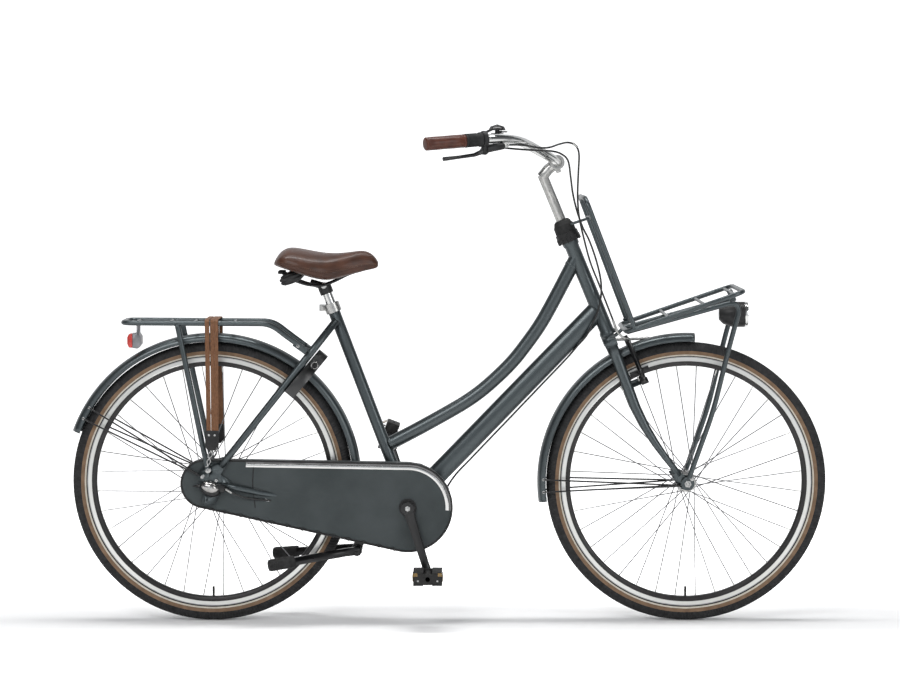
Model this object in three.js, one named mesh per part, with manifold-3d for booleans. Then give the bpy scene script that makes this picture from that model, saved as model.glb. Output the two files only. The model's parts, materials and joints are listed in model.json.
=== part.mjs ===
// A Dutch city bike. Millimetres, +X forward, +Y to the rider's left, +Z up.
// The origin is on the ground, midway between the two wheel axles.
import * as THREE from 'three';
import { mergeVertices } from 'three/addons/utils/BufferGeometryUtils.js';
import Module from 'manifold-3d';

const wasm = await Module();
wasm.setup();

// Driving dimensions of the whole bike
const rimOuter = 317;
const tyreHeight = 36;
const wheelGap = 489;
const crownRoom = 73;
const headLean = THREE.MathUtils.degToRad(22.6);
const seatLean = THREE.MathUtils.degToRad(20.8);
const forkOffset = 39.3;
const headTubeLength = 238.3;
const seatTubeLength = 541.8;
const bracketSetback = 104.5;
const axleDrop = 60;
const runningGap = 0.3;
const overrun = 4;
const tyreRadius = rimOuter + tyreHeight;
const wheelbase = 2 * tyreRadius + wheelGap;
const forkLength = tyreRadius + crownRoom;
const bracketHeight = tyreRadius - axleDrop;

// Small tools for shapes
const sideways = new THREE.Vector3(0, 1, 0);
const upward = new THREE.Vector3(0, 0, 1);
const forward = new THREE.Vector3(1, 0, 0);
const at = (x, y, z) => new THREE.Vector3(x, y, z);
const mirrored = (points) => points.map((p) => at(p.x, -p.y, p.z));
const between = (a, b, share) => a.clone().lerp(b, share);
const fullTurn = 2 * Math.PI;

function outward(geometry) {
  const place = geometry.attributes.position;
  const index = geometry.index.array;
  let volume = 0;
  const [a, b, c] = [at(0, 0, 0), at(0, 0, 0), at(0, 0, 0)];
  for (let i = 0; i < index.length; i += 3) {
    a.fromBufferAttribute(place, index[i]);
    b.fromBufferAttribute(place, index[i + 1]);
    c.fromBufferAttribute(place, index[i + 2]);
    volume += a.dot(b.cross(c));
  }
  if (volume < 0) {
    for (let i = 0; i < index.length; i += 3) {
      [index[i], index[i + 1]] = [index[i + 1], index[i]];
    }
  }
  return geometry;
}

// Merges the shared corners, so that the mesh is closed, and drops faces that have no area.
function welded(geometry) {
  const bare = geometry.clone();
  bare.deleteAttribute('normal');
  bare.deleteAttribute('uv');
  const merged = mergeVertices(bare);
  const kept = [];
  const index = merged.index.array;
  for (let i = 0; i < index.length; i += 3) {
    const [a, b, c] = [index[i], index[i + 1], index[i + 2]];
    if (a !== b && b !== c && c !== a) kept.push(a, b, c);
  }
  merged.setIndex(kept);
  return outward(merged);
}

function solid(shape) {
  if (!shape.isBufferGeometry) return shape;
  const merged = welded(shape);
  return new wasm.Manifold(new wasm.Mesh({
    numProp: 3,
    vertProperties: new Float32Array(merged.attributes.position.array),
    triVerts: new Uint32Array(merged.index.array),
  }));
}

function geometryOf(shape) {
  if (shape.isBufferGeometry) return welded(shape);
  const mesh = shape.getMesh();
  const geometry = new THREE.BufferGeometry();
  geometry.setAttribute('position', new THREE.BufferAttribute(mesh.vertProperties, 3));
  geometry.setIndex(new THREE.BufferAttribute(mesh.triVerts, 1));
  return geometry;
}

const fuse = (...shapes) => shapes.map(solid).reduce((whole, next) => whole.add(next));
const cut = (shape, ...tools) => tools.map(solid).reduce((whole, tool) =>
  whole.subtract(tool), solid(shape));

// Directions of a section at each ring of a path, carried along it without twist.
function framesAlong(rings, side) {
  const last = rings.length - 1;
  const steps = rings.slice(1).map((ring, i) => ring.clone().sub(rings[i]).normalize());
  const tangents = rings.map((_, i) => {
    const before = steps[Math.max(i - 1, 0)];
    const after = steps[Math.min(i, last - 1)];
    return before.clone().add(after).normalize();
  });
  const normals = [];
  const binormals = [];
  let normal = side.clone().addScaledVector(tangents[0], -side.dot(tangents[0])).normalize();
  tangents.forEach((tangent, i) => {
    if (i > 0) {
      const turn = new THREE.Quaternion().setFromUnitVectors(tangents[i - 1], tangent);
      normal = normal.clone().applyQuaternion(turn);
    }
    normals.push(normal);
    binormals.push(tangent.clone().cross(normal));
  });
  return { tangents, normals, binormals };
}

// A path with a ring at each given point and nowhere else.
class RingPath extends THREE.Curve {
  constructor(rings, side) {
    super();
    this.rings = rings;
    this.side = side;
  }

  getSpacedPoints() {
    return this.rings;
  }

  computeFrenetFrames() {
    return framesAlong(this.rings, this.side);
  }
}

function sweep(section, rings, side = sideways) {
  return new THREE.ExtrudeGeometry(section, {
    steps: rings.length - 1,
    extrudePath: new RingPath(rings, side),
    bevelEnabled: false,
  });
}

function ovalPoints(halfWidth, halfHeight, sides) {
  return Array.from({ length: sides }, (_, i) => {
    const angle = fullTurn * (i + 0.5) / sides;
    return new THREE.Vector2(halfWidth * Math.cos(angle), halfHeight * Math.sin(angle));
  });
}

const oval = (halfWidth, halfHeight, sides) => new THREE.Shape(ovalPoints(halfWidth, halfHeight, sides));

// Straight runs joined by round bends.
function bent(corners, bend, turns) {
  const rings = [corners[0].clone()];
  for (let i = 1; i < corners.length - 1; i += 1) {
    const before = corners[i].clone().sub(corners[i - 1]);
    const after = corners[i + 1].clone().sub(corners[i]);
    const room = Math.min(before.length(), after.length()) / 2;
    before.normalize();
    after.normalize();
    const angle = before.angleTo(after);
    const radius = Math.min(bend, room / Math.tan(angle / 2));
    const start = corners[i].clone().addScaledVector(before, -radius * Math.tan(angle / 2));
    const inward = after.clone().addScaledVector(before, -before.dot(after)).normalize();
    const centre = start.clone().addScaledVector(inward, radius);
    for (let k = 0; k <= turns; k += 1) {
      const turned = angle * k / turns;
      rings.push(centre.clone()
        .addScaledVector(inward, -radius * Math.cos(turned))
        .addScaledVector(before, radius * Math.sin(turned)));
    }
  }
  rings.push(corners[corners.length - 1].clone());
  return rings;
}

function rod(corners, radius, { sides = 8, bend = 0, turns = 3, side = sideways } = {}) {
  const rings = bend > 0 ? bent(corners, bend, turns) : corners;
  return sweep(oval(radius, radius, sides), rings, side);
}

const spline = (points, steps) => new THREE.CatmullRomCurve3(points).getSpacedPoints(steps);

// A closed skin over rings of points, with a flat end at each side, or closed on itself.
function loft(rings, closed = false) {
  const count = rings[0].length;
  const place = rings.flat().flatMap((p) => [p.x, p.y, p.z]);
  const faces = [];
  const spans = closed ? rings.length : rings.length - 1;
  for (let i = 0; i < spans; i += 1) {
    for (let j = 0; j < count; j += 1) {
      const a = i * count + j;
      const b = i * count + (j + 1) % count;
      const c = ((i + 1) % rings.length) * count + j;
      const d = ((i + 1) % rings.length) * count + (j + 1) % count;
      faces.push(a, b, d, a, d, c);
    }
  }
  if (!closed) {
    const end = (rings.length - 1) * count;
    for (let j = 1; j < count - 1; j += 1) {
      faces.push(0, j + 1, j, end, end + j, end + j + 1);
    }
  }
  const geometry = new THREE.BufferGeometry();
  geometry.setAttribute('position', new THREE.Float32BufferAttribute(place, 3));
  geometry.setIndex(faces);
  return outward(geometry);
}

// A rod whose section changes: sizes holds [half width sideways, half height] for each ring.
function tapered(rings, sizes, sides, side = sideways) {
  const { normals, binormals } = framesAlong(rings, side);
  return loft(rings.map((ring, i) => ovalPoints(sizes[i][0], sizes[i][1], sides).map((p) => ring.clone()
    .addScaledVector(normals[i], p.x)
    .addScaledVector(binormals[i], p.y))));
}

// A profile of [radius, distance along] turned about an axis. It starts and ends on the axis or closes.
function turned(profile, from, direction, segments, closed = false) {
  const points = profile.map(([radius, along]) => new THREE.Vector2(radius, along));
  if (closed) points.push(points[0].clone());
  const geometry = new THREE.LatheGeometry(points, segments);
  geometry.applyQuaternion(new THREE.Quaternion().setFromUnitVectors(sideways,
    direction.clone().normalize()));
  return geometry.translate(from.x, from.y, from.z);
}

function pin(from, to, radius, segments = 12) {
  const length = from.distanceTo(to);
  const profile = [[0, 0], [radius, 0], [radius, length], [0, length]];
  return turned(profile, from, to.clone().sub(from), segments);
}

function ring(from, to, outer, inner, segments = 16) {
  const length = from.distanceTo(to);
  const profile = [[inner, 0], [outer, 0], [outer, length], [inner, length]];
  return turned(profile, from, to.clone().sub(from), segments, true);
}

// A flat outline in X and Z, from one place across the bike to another.
function plate(shape, yFrom, yTo, curveSegments = 6) {
  const depth = Math.abs(yTo - yFrom);
  const geometry = new THREE.ExtrudeGeometry(shape, { depth, bevelEnabled: false, curveSegments });
  geometry.rotateX(Math.PI / 2);
  return geometry.translate(0, Math.max(yFrom, yTo), 0);
}

const outline = (points) => new THREE.Shape(points.map(([x, z]) => new THREE.Vector2(x, z)));

function block(centre, size) {
  return new THREE.BoxGeometry(size.x, size.y, size.z).translate(centre.x, centre.y, centre.z);
}

// The outer line of a belt round two circles, as a shape in X and Z, with the tangents straight.
function beltOutline(big, bigRadius, small, smallRadius, segments) {
  const away = small.clone().sub(big);
  const tilt = Math.atan2(away.y, away.x);
  const open = Math.acos((bigRadius - smallRadius) / away.length());
  const points = [];
  for (let i = 0; i <= segments; i += 1) {
    const angle = tilt + open + (fullTurn - 2 * open) * i / segments;
    points.push(new THREE.Vector2(big.x + bigRadius * Math.cos(angle),
      big.y + bigRadius * Math.sin(angle)));
  }
  for (let i = 0; i <= segments; i += 1) {
    const angle = tilt - open + 2 * open * i / segments;
    points.push(new THREE.Vector2(small.x + smallRadius * Math.cos(angle),
      small.y + smallRadius * Math.sin(angle)));
  }
  return points;
}

// The scene: the frame's own pieces, and what turns with the fork about the head tube's axis
const bike = new THREE.Group();
const steering = new THREE.Group();
const headPieces = new THREE.Group();
const frontWheelGroup = new THREE.Group();
const rearWheelGroup = new THREE.Group();

const rearAxle = at(-wheelbase / 2, 0, tyreRadius);
const frontAxle = at(wheelbase / 2, 0, tyreRadius);
const headUp = at(-Math.sin(headLean), 0, Math.cos(headLean));
const headAhead = at(Math.cos(headLean), 0, Math.sin(headLean));
const headLower = frontAxle.clone().addScaledVector(headUp, forkLength).addScaledVector(headAhead,
  -forkOffset);
const onHead = (height) => headLower.clone().addScaledVector(headUp, height);
const bracket = at(-bracketSetback, 0, bracketHeight);
const byRearAxle = ([x, z], side = 0) => at(rearAxle.x + x, side, rearAxle.z + z);
const byBracket = ([x, z], side = 0) => at(bracket.x + x, side, bracket.z + z);
const seatUp = at(-Math.sin(seatLean), 0, Math.cos(seatLean));
const onSeat = (distance) => bracket.clone().addScaledVector(seatUp, distance);

for (const turnedGroup of [steering, headPieces]) {
  turnedGroup.position.copy(headLower);
  turnedGroup.rotation.y = -headLean;
  bike.add(turnedGroup);
}
frontWheelGroup.position.set(forkOffset, 0, -forkLength);
frontWheelGroup.rotation.y = headLean;
steering.add(frontWheelGroup);
rearWheelGroup.position.copy(rearAxle);
bike.add(rearWheelGroup);

const finishes = {
  slate: [0x3c4446, 0.45, 0.3],
  black: [0x1d1e1f, 0.5, 0.1],
  dull: [0x2a2b2c, 0.8, 0],
  silver: [0xc4c6c8, 0.3, 0.9],
  chrome: [0xe4e6e8, 0.12, 1],
  brown: [0x5f3c2d, 0.6, 0],
  strap: [0x7d4b2d, 0.75, 0],
  rubber: [0x242425, 0.85, 0],
  red: [0xa01414, 0.2, 0],
  clear: [0xd8dde0, 0.1, 0],
  cover: [0x343c3e, 0.55, 0],
};

function piece(name, shape, finish, carrier = bike) {
  const [color, roughness, metalness] = finishes[finish];
  const material = new THREE.MeshStandardMaterial({ color, roughness, metalness, flatShading: true });
  const mesh = new THREE.Mesh(geometryOf(shape), material);
  mesh.name = name;
  carrier.add(mesh);
  return mesh;
}

// Head tube with its pressed cups, open for the steerer
const headTubeRadius = 18;
const headBore = 15.5;
const cupRadius = 21;
const cupDepth = 8;
const cupBlend = 5;

piece('head_tube', turned([
  [headBore, -cupDepth], [cupRadius, -cupDepth], [cupRadius, 0], [headTubeRadius, cupBlend],
  [headTubeRadius, headTubeLength - cupBlend], [cupRadius, headTubeLength],
  [cupRadius, headTubeLength + cupDepth], [headBore, headTubeLength + cupDepth],
], at(0, 0, 0), upward, 16, true), 'slate', headPieces);

const headClear = pin(onHead(-cupDepth), onHead(headTubeLength + cupDepth),
  headTubeRadius + runningGap, 16);

// Seat tube with the bottom bracket shell across its foot
const seatTubeRadius = 15;
const seatBore = 13;
const seatBoreDepth = 330;
const shellRadius = 21;
const shellBore = 17.5;
const shellHalfWidth = 35;
const seatTop = onSeat(seatTubeLength);
const acrossShell = (half) => [at(bracket.x, -half, bracket.z), at(bracket.x, half, bracket.z)];

const seatTube = cut(
  fuse(pin(bracket, seatTop, seatTubeRadius, 14), pin(...acrossShell(shellHalfWidth), shellRadius, 18)),
  pin(onSeat(seatTubeLength - seatBoreDepth), onSeat(seatTubeLength + overrun), seatBore, 12),
  pin(...acrossShell(shellHalfWidth + overrun), shellBore, 16),
);
piece('seat_tube', seatTube, 'slate');
const shellClear = pin(...acrossShell(shellHalfWidth), shellRadius + runningGap, 18);
const seatClear = pin(bracket, seatTop, seatTubeRadius + runningGap, 14);

// Down tube, deeper than it is wide
const downTubeHalfDepth = 25.5;
const downTubeHalfWidth = 20;
const downTubeTopHeight = 61;
const downTubeFoot = at(bracket.x, 0, bracket.z);
const downTubeHead = onHead(downTubeTopHeight);
const downTube = sweep(oval(downTubeHalfWidth, downTubeHalfDepth, 14), [downTubeFoot, downTubeHead]);
piece('down_tube', cut(downTube, headClear, shellClear, seatClear), 'slate');

// Top tube: a long low run that sweeps up to the head
const topTubeRadius = 17.5;
const topTubeDrop = 34.4;
const topTubeHeadHeight = headTubeLength - topTubeDrop;
const topTubeSeatDistance = 160;
const swanShares = [
  [0, 0], [0.12, 0.037], [0.243, 0.072], [0.34, 0.096], [0.431, 0.108], [0.55, 0.11], [0.648, 0.0985],
  [0.738, 0.0815], [0.842, 0.051], [0.959, 0.0133], [1, 0],
];
const topTubeFoot = onSeat(topTubeSeatDistance);
const topTubeHead = onHead(topTubeHeadHeight);
const topTubeSpan = topTubeHead.clone().sub(topTubeFoot);
const topTubeAside = at(topTubeSpan.z, 0, -topTubeSpan.x);
const swanPoints = swanShares.map(([along, aside]) => topTubeFoot.clone()
  .addScaledVector(topTubeSpan, along).addScaledVector(topTubeAside, aside));
const topTube = sweep(oval(topTubeRadius, topTubeRadius, 12), spline(swanPoints, 15));
piece('top_tube', cut(topTube, headClear, seatClear), 'slate');

// Rear stays: seat stay, chain stay and dropout plate on each side
const dropoutInner = 62;
const dropoutThickness = 5;
const dropoutOuter = dropoutInner + dropoutThickness;
const stayEndRadius = 6.3;
const staySink = 1.8;
const stayPlane = dropoutInner + stayEndRadius - staySink;
const seatStayTopDistance = 502;
const seatStayTopSide = 23;
const seatStayTopRadius = 10;
const seatStayRadius = 9;
const seatStayWideShare = 0.25;
const seatStayWideSide = 40;
const seatStayFlatShare = 0.88;
const chainStayRadius = 8;
const chainStayFootSide = 24;
const seatEye = byRearAxle([25, 44]);
const axleHole = 5.2;
const boltRadius = 2.8;
const eyeHole = boltRadius + 2 * runningGap;
const boltProud = 2;
const boltInner = dropoutInner - boltProud;
const lowBoltRadius = 6;
const lowBoltHeight = 5;
const eyes = {
  strut: byRearAxle([-6.5, 36]),
  guard: byRearAxle([-21, 19]),
  low: byRearAxle([-11.5, -43.5]),
};
const dropoutOutlineOffsets = [
  [-16, 48], [6, 50], [33, 58], [37, 44], [24, 24], [50, 6], [52, -10], [26, -16],
  [8, -52], [-20, -56], [-24, -38], [-14, -14], [-16, 4], [-32, 12], [-32, 28],
];
const chainStayOffsets = [[30, -1], [62, -9], [125, -23], [200, -36]];
const chainStaySides = [stayPlane, stayPlane, 58, 46];
const chainStayFootOffset = [-12, 1];
const chainStayPlaces = [
  ...chainStayOffsets.map((offset, i) => byRearAxle(offset, -chainStaySides[i])),
  byBracket(chainStayFootOffset, -chainStayFootSide),
];
const chainStaySizes = [
  [stayEndRadius, stayEndRadius], [stayEndRadius, chainStayRadius], [chainStayRadius, chainStayRadius],
  [chainStayRadius, chainStayRadius], [chainStayRadius, chainStayRadius],
];
const seatStayTop = onSeat(seatStayTopDistance).add(at(0, -seatStayTopSide, 0));
const seatStayPlaces = [
  seatStayTop,
  between(seatStayTop, seatEye, seatStayWideShare).setY(-seatStayWideSide),
  between(seatStayTop, seatEye, seatStayFlatShare).setY(-stayPlane),
  seatEye.clone().setY(-stayPlane),
];
const seatStaySizes = [
  [seatStayRadius, seatStayTopRadius], [seatStayRadius, seatStayTopRadius],
  [stayEndRadius, seatStayRadius], [stayEndRadius, seatStayRadius],
];

function rearStays(sign) {
  const flip = (points) => (sign < 0 ? points : mirrored(points));
  const chainStay = tapered(flip(chainStayPlaces), chainStaySizes, 8);
  const seatStay = tapered(flip(seatStayPlaces), seatStaySizes, 8);
  const dropout = outline(dropoutOutlineOffsets.map(([x, z]) => [rearAxle.x + x, rearAxle.z + z]));
  const holes = [eyes.strut, eyes.guard].map((eye) => pin(
    at(eye.x, sign * (dropoutInner - overrun), eye.z), at(eye.x, sign * (dropoutOuter + overrun), eye.z),
    eyeHole, 8));
  const lowBolt = pin(at(eyes.low.x, sign * dropoutInner, eyes.low.z),
    at(eyes.low.x, sign * (dropoutOuter + lowBoltHeight), eyes.low.z), lowBoltRadius, 6);
  const axleOpening = pin(at(rearAxle.x, sign * (dropoutInner - overrun), rearAxle.z),
    at(rearAxle.x, sign * (dropoutOuter + overrun), rearAxle.z), axleHole, 10);
  const whole = fuse(chainStay, seatStay, lowBolt, plate(dropout, sign * dropoutInner,
    sign * dropoutOuter));
  return cut(whole, seatClear, shellClear, axleOpening, ...holes);
}

piece('rear_stays_right', rearStays(-1), 'slate');
piece('rear_stays_left', rearStays(1), 'slate');

// Bottom bracket cartridge and the spindle that turns in it
const spindleRadius = 8;
const spindleHalf = 81;
const cartridgeRadius = shellBore - runningGap;
const cupFlange = 2.5;
const cupInset = 2;
piece('bottom_bracket', turned([
  [spindleRadius + runningGap, -shellHalfWidth - cupFlange], [shellRadius - cupInset,
    -shellHalfWidth - cupFlange],
  [shellRadius - cupInset, -shellHalfWidth - runningGap], [cartridgeRadius, -shellHalfWidth - runningGap],
  [cartridgeRadius, shellHalfWidth + runningGap], [shellRadius - cupInset, shellHalfWidth + runningGap],
  [shellRadius - cupInset, shellHalfWidth + cupFlange], [spindleRadius + runningGap,
    shellHalfWidth + cupFlange],
], bracket, sideways, 16, true), 'silver');
piece('crank_spindle', pin(...acrossShell(spindleHalf), spindleRadius, 16), 'silver');

// Cranks. The right one carries the chainring, both carry their pedal's axle
const crankLength = 170;
const crankAngle = THREE.MathUtils.degToRad(-72.6);
const crankInner = 66;
const crankOuter = 84;
const crankBossRadius = 17;
const crankNeckRadius = 15.5;
const crankTipRadius = 11.5;
const crankHalfThickness = 7;
const crankHalfWidths = [15, 12, 10.5, 11.5];
const crankWidthShares = [0, 0.35, 0.85, 1];
const pedalAxleRadius = 5;
const pedalAxleEnd = 182;
const spindleBoreFrom = 34;
const ringWall = 2;
const ringWindows = { count: 4, radius: 18, at: 48 };
const leftBossInner = 58;
const toothPitch = 12.7;
const ringTeeth = 42;
const sprocketTeeth = 21;
const chainLine = 44;
const toothHalfThickness = 1.5;
const toothTip = 2.6;
const toothRoot = 4;
const pitchRadius = (teeth) => toothPitch / (2 * Math.sin(Math.PI / teeth));

function toothed(centre, teeth, bore, windows) {
  const radius = pitchRadius(teeth);
  const points = [];
  const shareOfTooth = [[0, -toothRoot], [0.5, toothTip]];
  for (let i = 0; i < teeth; i += 1) {
    for (const [share, height] of shareOfTooth) {
      const angle = fullTurn * (i + share) / teeth;
      points.push([centre.x + (radius + height) * Math.cos(angle),
        centre.z + (radius + height) * Math.sin(angle)]);
    }
  }
  const shape = outline(points);
  const hole = new THREE.Path();
  hole.absarc(centre.x, centre.z, bore, 0, fullTurn, true);
  shape.holes.push(hole);
  for (let i = 0; i < windows.count; i += 1) {
    const window = new THREE.Path();
    const angle = fullTurn * i / windows.count;
    window.absarc(centre.x + windows.at * Math.cos(angle), centre.z + windows.at * Math.sin(angle),
      windows.radius, 0, fullTurn, true);
    shape.holes.push(window);
  }
  return plate(shape, -chainLine - toothHalfThickness, -chainLine + toothHalfThickness, 3);
}

function crankArm(sign, angle) {
  const along = at(Math.cos(angle), 0, Math.sin(angle));
  const middle = crankOuter - crankHalfThickness;
  const rings = crankWidthShares.map((share) => bracket.clone()
    .addScaledVector(along, crankLength * share).setY(sign * middle));
  const tip = rings[rings.length - 1];
  const arm = tapered(rings, crankHalfWidths.map((half) => [crankHalfThickness, half]), 8);
  const tipBoss = pin(at(tip.x, sign * (middle - crankHalfThickness), tip.z),
    at(tip.x, sign * crankOuter, tip.z), crankTipRadius, 12);
  const axle = pin(tip.clone(), at(tip.x, sign * pedalAxleEnd, tip.z), pedalAxleRadius, 10);
  return fuse(arm, tipBoss, axle);
}

const acrossFrom = (y1, y2) => [at(bracket.x, y1, bracket.z), at(bracket.x, y2, bracket.z)];
const spindleBore = (sign) => pin(...acrossFrom(sign * spindleBoreFrom, sign * (spindleHalf + runningGap)),
  spindleRadius + runningGap, 16);
const rightCrank = cut(fuse(
  crankArm(-1, crankAngle),
  pin(...acrossFrom(-crankOuter, -chainLine + toothHalfThickness), crankNeckRadius, 12),
  pin(...acrossFrom(-crankOuter, -crankInner), crankBossRadius, 12),
  toothed(bracket, ringTeeth, crankNeckRadius - ringWall, ringWindows),
), spindleBore(-1));
piece('crank_right', rightCrank, 'black');
piece('crank_left', cut(fuse(
  crankArm(1, crankAngle + Math.PI),
  pin(...acrossFrom(leftBossInner, crankOuter), crankBossRadius, 16),
), spindleBore(1)), 'black');

// Pedals: a barrel on the axle, two tread blocks and two end plates
const pedalClear = 7;
const pedalInner = crankOuter + pedalClear;
const pedalOuter = 187;
const pedalHalfLength = 36;
const pedalHalfHeight = 16.5;
const treadLength = 25;
const barrelRadius = 10;
const endPlate = 3;
const endPlateLow = 2;
const treadGap = 2;
const grooveShare = 0.2;
const boreBeyond = 1;

function pedal(sign, angle, tilt) {
  const centre = bracket.clone().add(at(crankLength * Math.cos(angle), 0, crankLength * Math.sin(angle)));
  const y1 = sign * pedalInner;
  const y2 = sign * pedalOuter;
  const sizeY = pedalOuter - pedalInner;
  const middleY = (y1 + y2) / 2;
  const treads = [-1, 1].map((end) => {
    const x = end * (pedalHalfLength - treadLength / 2);
    const groove = block(at(x, middleY, 0), at(treadLength + overrun, sizeY * grooveShare, 2 * treadGap));
    return fuse(block(at(x, middleY, 0), at(treadLength, sizeY - 2 * endPlate, 2 * pedalHalfHeight)),
      groove);
  });
  const plateShape = oval(pedalHalfLength - boreBeyond, pedalHalfHeight - endPlateLow, 12);
  const body = fuse(
    pin(at(0, y1, 0), at(0, y2, 0), barrelRadius, 12),
    plate(plateShape, y1, y1 + sign * endPlate),
    plate(plateShape, y2, y2 - sign * endPlate),
    ...treads,
  );
  const bore = pin(at(0, y1 - sign * overrun, 0), at(0, sign * (pedalAxleEnd + boreBeyond), 0),
    pedalAxleRadius + runningGap, 10);
  return cut(body, bore).rotate([0, THREE.MathUtils.radToDeg(tilt), 0]).translate([centre.x, 0, centre.z]);
}

piece('pedal_right', pedal(-1, crankAngle, 0), 'rubber');
piece('pedal_left', pedal(1, crankAngle + Math.PI, seatLean - Math.PI / 2), 'rubber');

// Rear axle with its cones, brake arm and nuts, and the sprocket on its driver
const axleRadius = 4.7;
const axleHalf = 82;
const nutRadius = 9;
const nutThickness = 9;
const coneRadius = 11;
const coneInner = 54.5;
const rearFlange = 33;
const rearFlangeSide = 28;
const hubPlay = 0.5;
const hubBore = axleRadius + hubPlay;
const onRearAxle = (y) => at(rearAxle.x, y, rearAxle.z);
const brakeArmLength = 128;
const armThickness = 3;
const armSeat = 2;
const armEnd = 6;
const armDrop = THREE.MathUtils.degToRad(-19);
const brakeArmHalf = [[-14, 8], [0, 14], [14, 9], [brakeArmLength, 7], [brakeArmLength + armEnd, 0]];
const brakeArmShape = outline([
  ...brakeArmHalf.map(([x, z]) => [x, -z]), ...brakeArmHalf.slice(0, -1).reverse(),
]);
const brakeArmFrom = coneInner - armSeat;
const brakeArm = solid(plate(brakeArmShape, brakeArmFrom, brakeArmFrom + armThickness))
  .rotate([0, THREE.MathUtils.radToDeg(-armDrop), 0]).translate([rearAxle.x, 0, rearAxle.z]);
const leftOf = dropoutInner - runningGap;
piece('rear_axle', fuse(
  pin(onRearAxle(-axleHalf), onRearAxle(axleHalf), axleRadius, 8),
  pin(onRearAxle(-leftOf), onRearAxle(-coneInner), coneRadius, 8),
  pin(onRearAxle(brakeArmFrom - armSeat), onRearAxle(leftOf), coneRadius, 8),
  brakeArm,
  ...[-1, 1].map((sign) => pin(onRearAxle(sign * (dropoutOuter + runningGap)),
    onRearAxle(sign * (dropoutOuter + nutThickness)), nutRadius, 6)),
), 'silver');

const driverRadius = 16;
const driverInner = 37.5;
piece('rear_sprocket', fuse(
  toothed(rearAxle, sprocketTeeth, driverRadius - ringWall, { count: 0, radius: 0, at: 0 }),
  ring(onRearAxle(-coneInner + runningGap), onRearAxle(-driverInner), driverRadius, hubBore, 14),
), 'silver');

// Shift box over the right axle end
const boxFar = 90;
const boxHalf = 22;
const boxNose = [[17, -boxHalf], [25, -12], [23, 2], [6, boxHalf]];
const nutClear = 1;
const shiftBoxShape = new THREE.Shape();
shiftBoxShape.absarc(rearAxle.x, rearAxle.z, boxHalf, Math.PI / 2, 3 * Math.PI / 2, false);
for (const [x, z] of boxNose) shiftBoxShape.lineTo(rearAxle.x + x, rearAxle.z + z);
piece('shift_box', cut(
  plate(shiftBoxShape, -boxFar, -dropoutOuter - runningGap, 8),
  pin(onRearAxle(-dropoutInner), onRearAxle(-axleHalf - runningGap), nutRadius + nutClear, 12),
), 'silver');

// Chain, a band round both toothed wheels with its plates down both sides of the teeth
const chainPlate = 4.5;
const chainHalfWidth = 4.5;
const chainSlot = 2.3;
const chainBack = 5.6;
const chainWeb = 4.1;
const chainSection = [
  [-chainHalfWidth, chainBack], [chainHalfWidth, chainBack], [chainHalfWidth, -chainPlate],
  [chainSlot, -chainPlate], [chainSlot, chainWeb], [-chainSlot, chainWeb],
  [-chainSlot, -chainPlate], [-chainHalfWidth, -chainPlate],
];
const flat = (p) => new THREE.Vector2(p.x, p.z);
const chainRings = chainSection.map(([aside, outwards]) => beltOutline(
  flat(bracket), pitchRadius(ringTeeth) + outwards, flat(rearAxle),
    pitchRadius(sprocketTeeth) + outwards, 11,
).map((p) => at(p.x, -chainLine + aside, p.y)));
const chainStations = chainRings[0].map((_, i) => chainRings.map((line) => line[i]));
piece('chain', loft(chainStations, true), 'silver');

// Chain case: a cover over a rim, open on the wheel's side for the stay and the hub
const caseFrontRadius = 113;
const caseRearRadius = 62;
const caseRearSetback = 15;
const caseInner = 31;
const caseOuter = 59.5;
const caseWall = 2;
const caseLip = 20;
const caseCrankHole = 19;
const caseAxleHole = 14;
const caseRear = at(rearAxle.x - caseRearSetback, 0, rearAxle.z);
const caseSegments = 12;

function caseShape(inset) {
  return new THREE.Shape(beltOutline(flat(bracket), caseFrontRadius - inset,
    flat(caseRear), caseRearRadius - inset, caseSegments));
}

const slotPlaces = chainStayPlaces.map((p) => p.clone());
const staySlot = tapered(slotPlaces, chainStaySizes.map(([a, b]) => [a + runningGap, b + runningGap]), 8);
const cableRadius = 2.5;
const cableUnderBracket = [[64.5, -4, -8], [12.5, -12, -31]];
const cableAlongStay = [[0.0923, -22, -20.5], [0.2546, -30, -16.8], [0.4574, -38, -19.4], [0.6602, -54, -23.6]];
const cableAtAxle = [[97.5, -66, -35.5], [57.5, -75, -23], [35.5, -79, -9]];
const shiftCableTail = [
  ...cableUnderBracket.map(([x, y, z]) => byBracket([x, z], y)),
  ...cableAlongStay.map(([share, y, z]) => between(bracket, rearAxle, share).add(at(0, y, z))),
  ...cableAtAxle.map(([x, y, z]) => byRearAxle([x, z], y)),
];
const cablePlay = 0.8;
const cableSlot = rod(spline(shiftCableTail, 14), cableRadius + cablePlay, { sides: 6 });
piece('chain_case', cut(
  plate(caseShape(0), -caseOuter, -caseInner),
  plate(caseShape(caseWall), -caseOuter + caseWall, -caseInner - caseWall),
  plate(caseShape(caseLip), -caseInner - caseWall - overrun, -caseInner + overrun),
  pin(...acrossFrom(-caseOuter - overrun, -caseOuter + caseWall + overrun), caseCrankHole, 18),
  pin(onRearAxle(-caseOuter - overrun), onRearAxle(-caseOuter + caseWall + overrun), caseAxleHole, 14),
  staySlot, cableSlot,
), 'cover');

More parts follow.
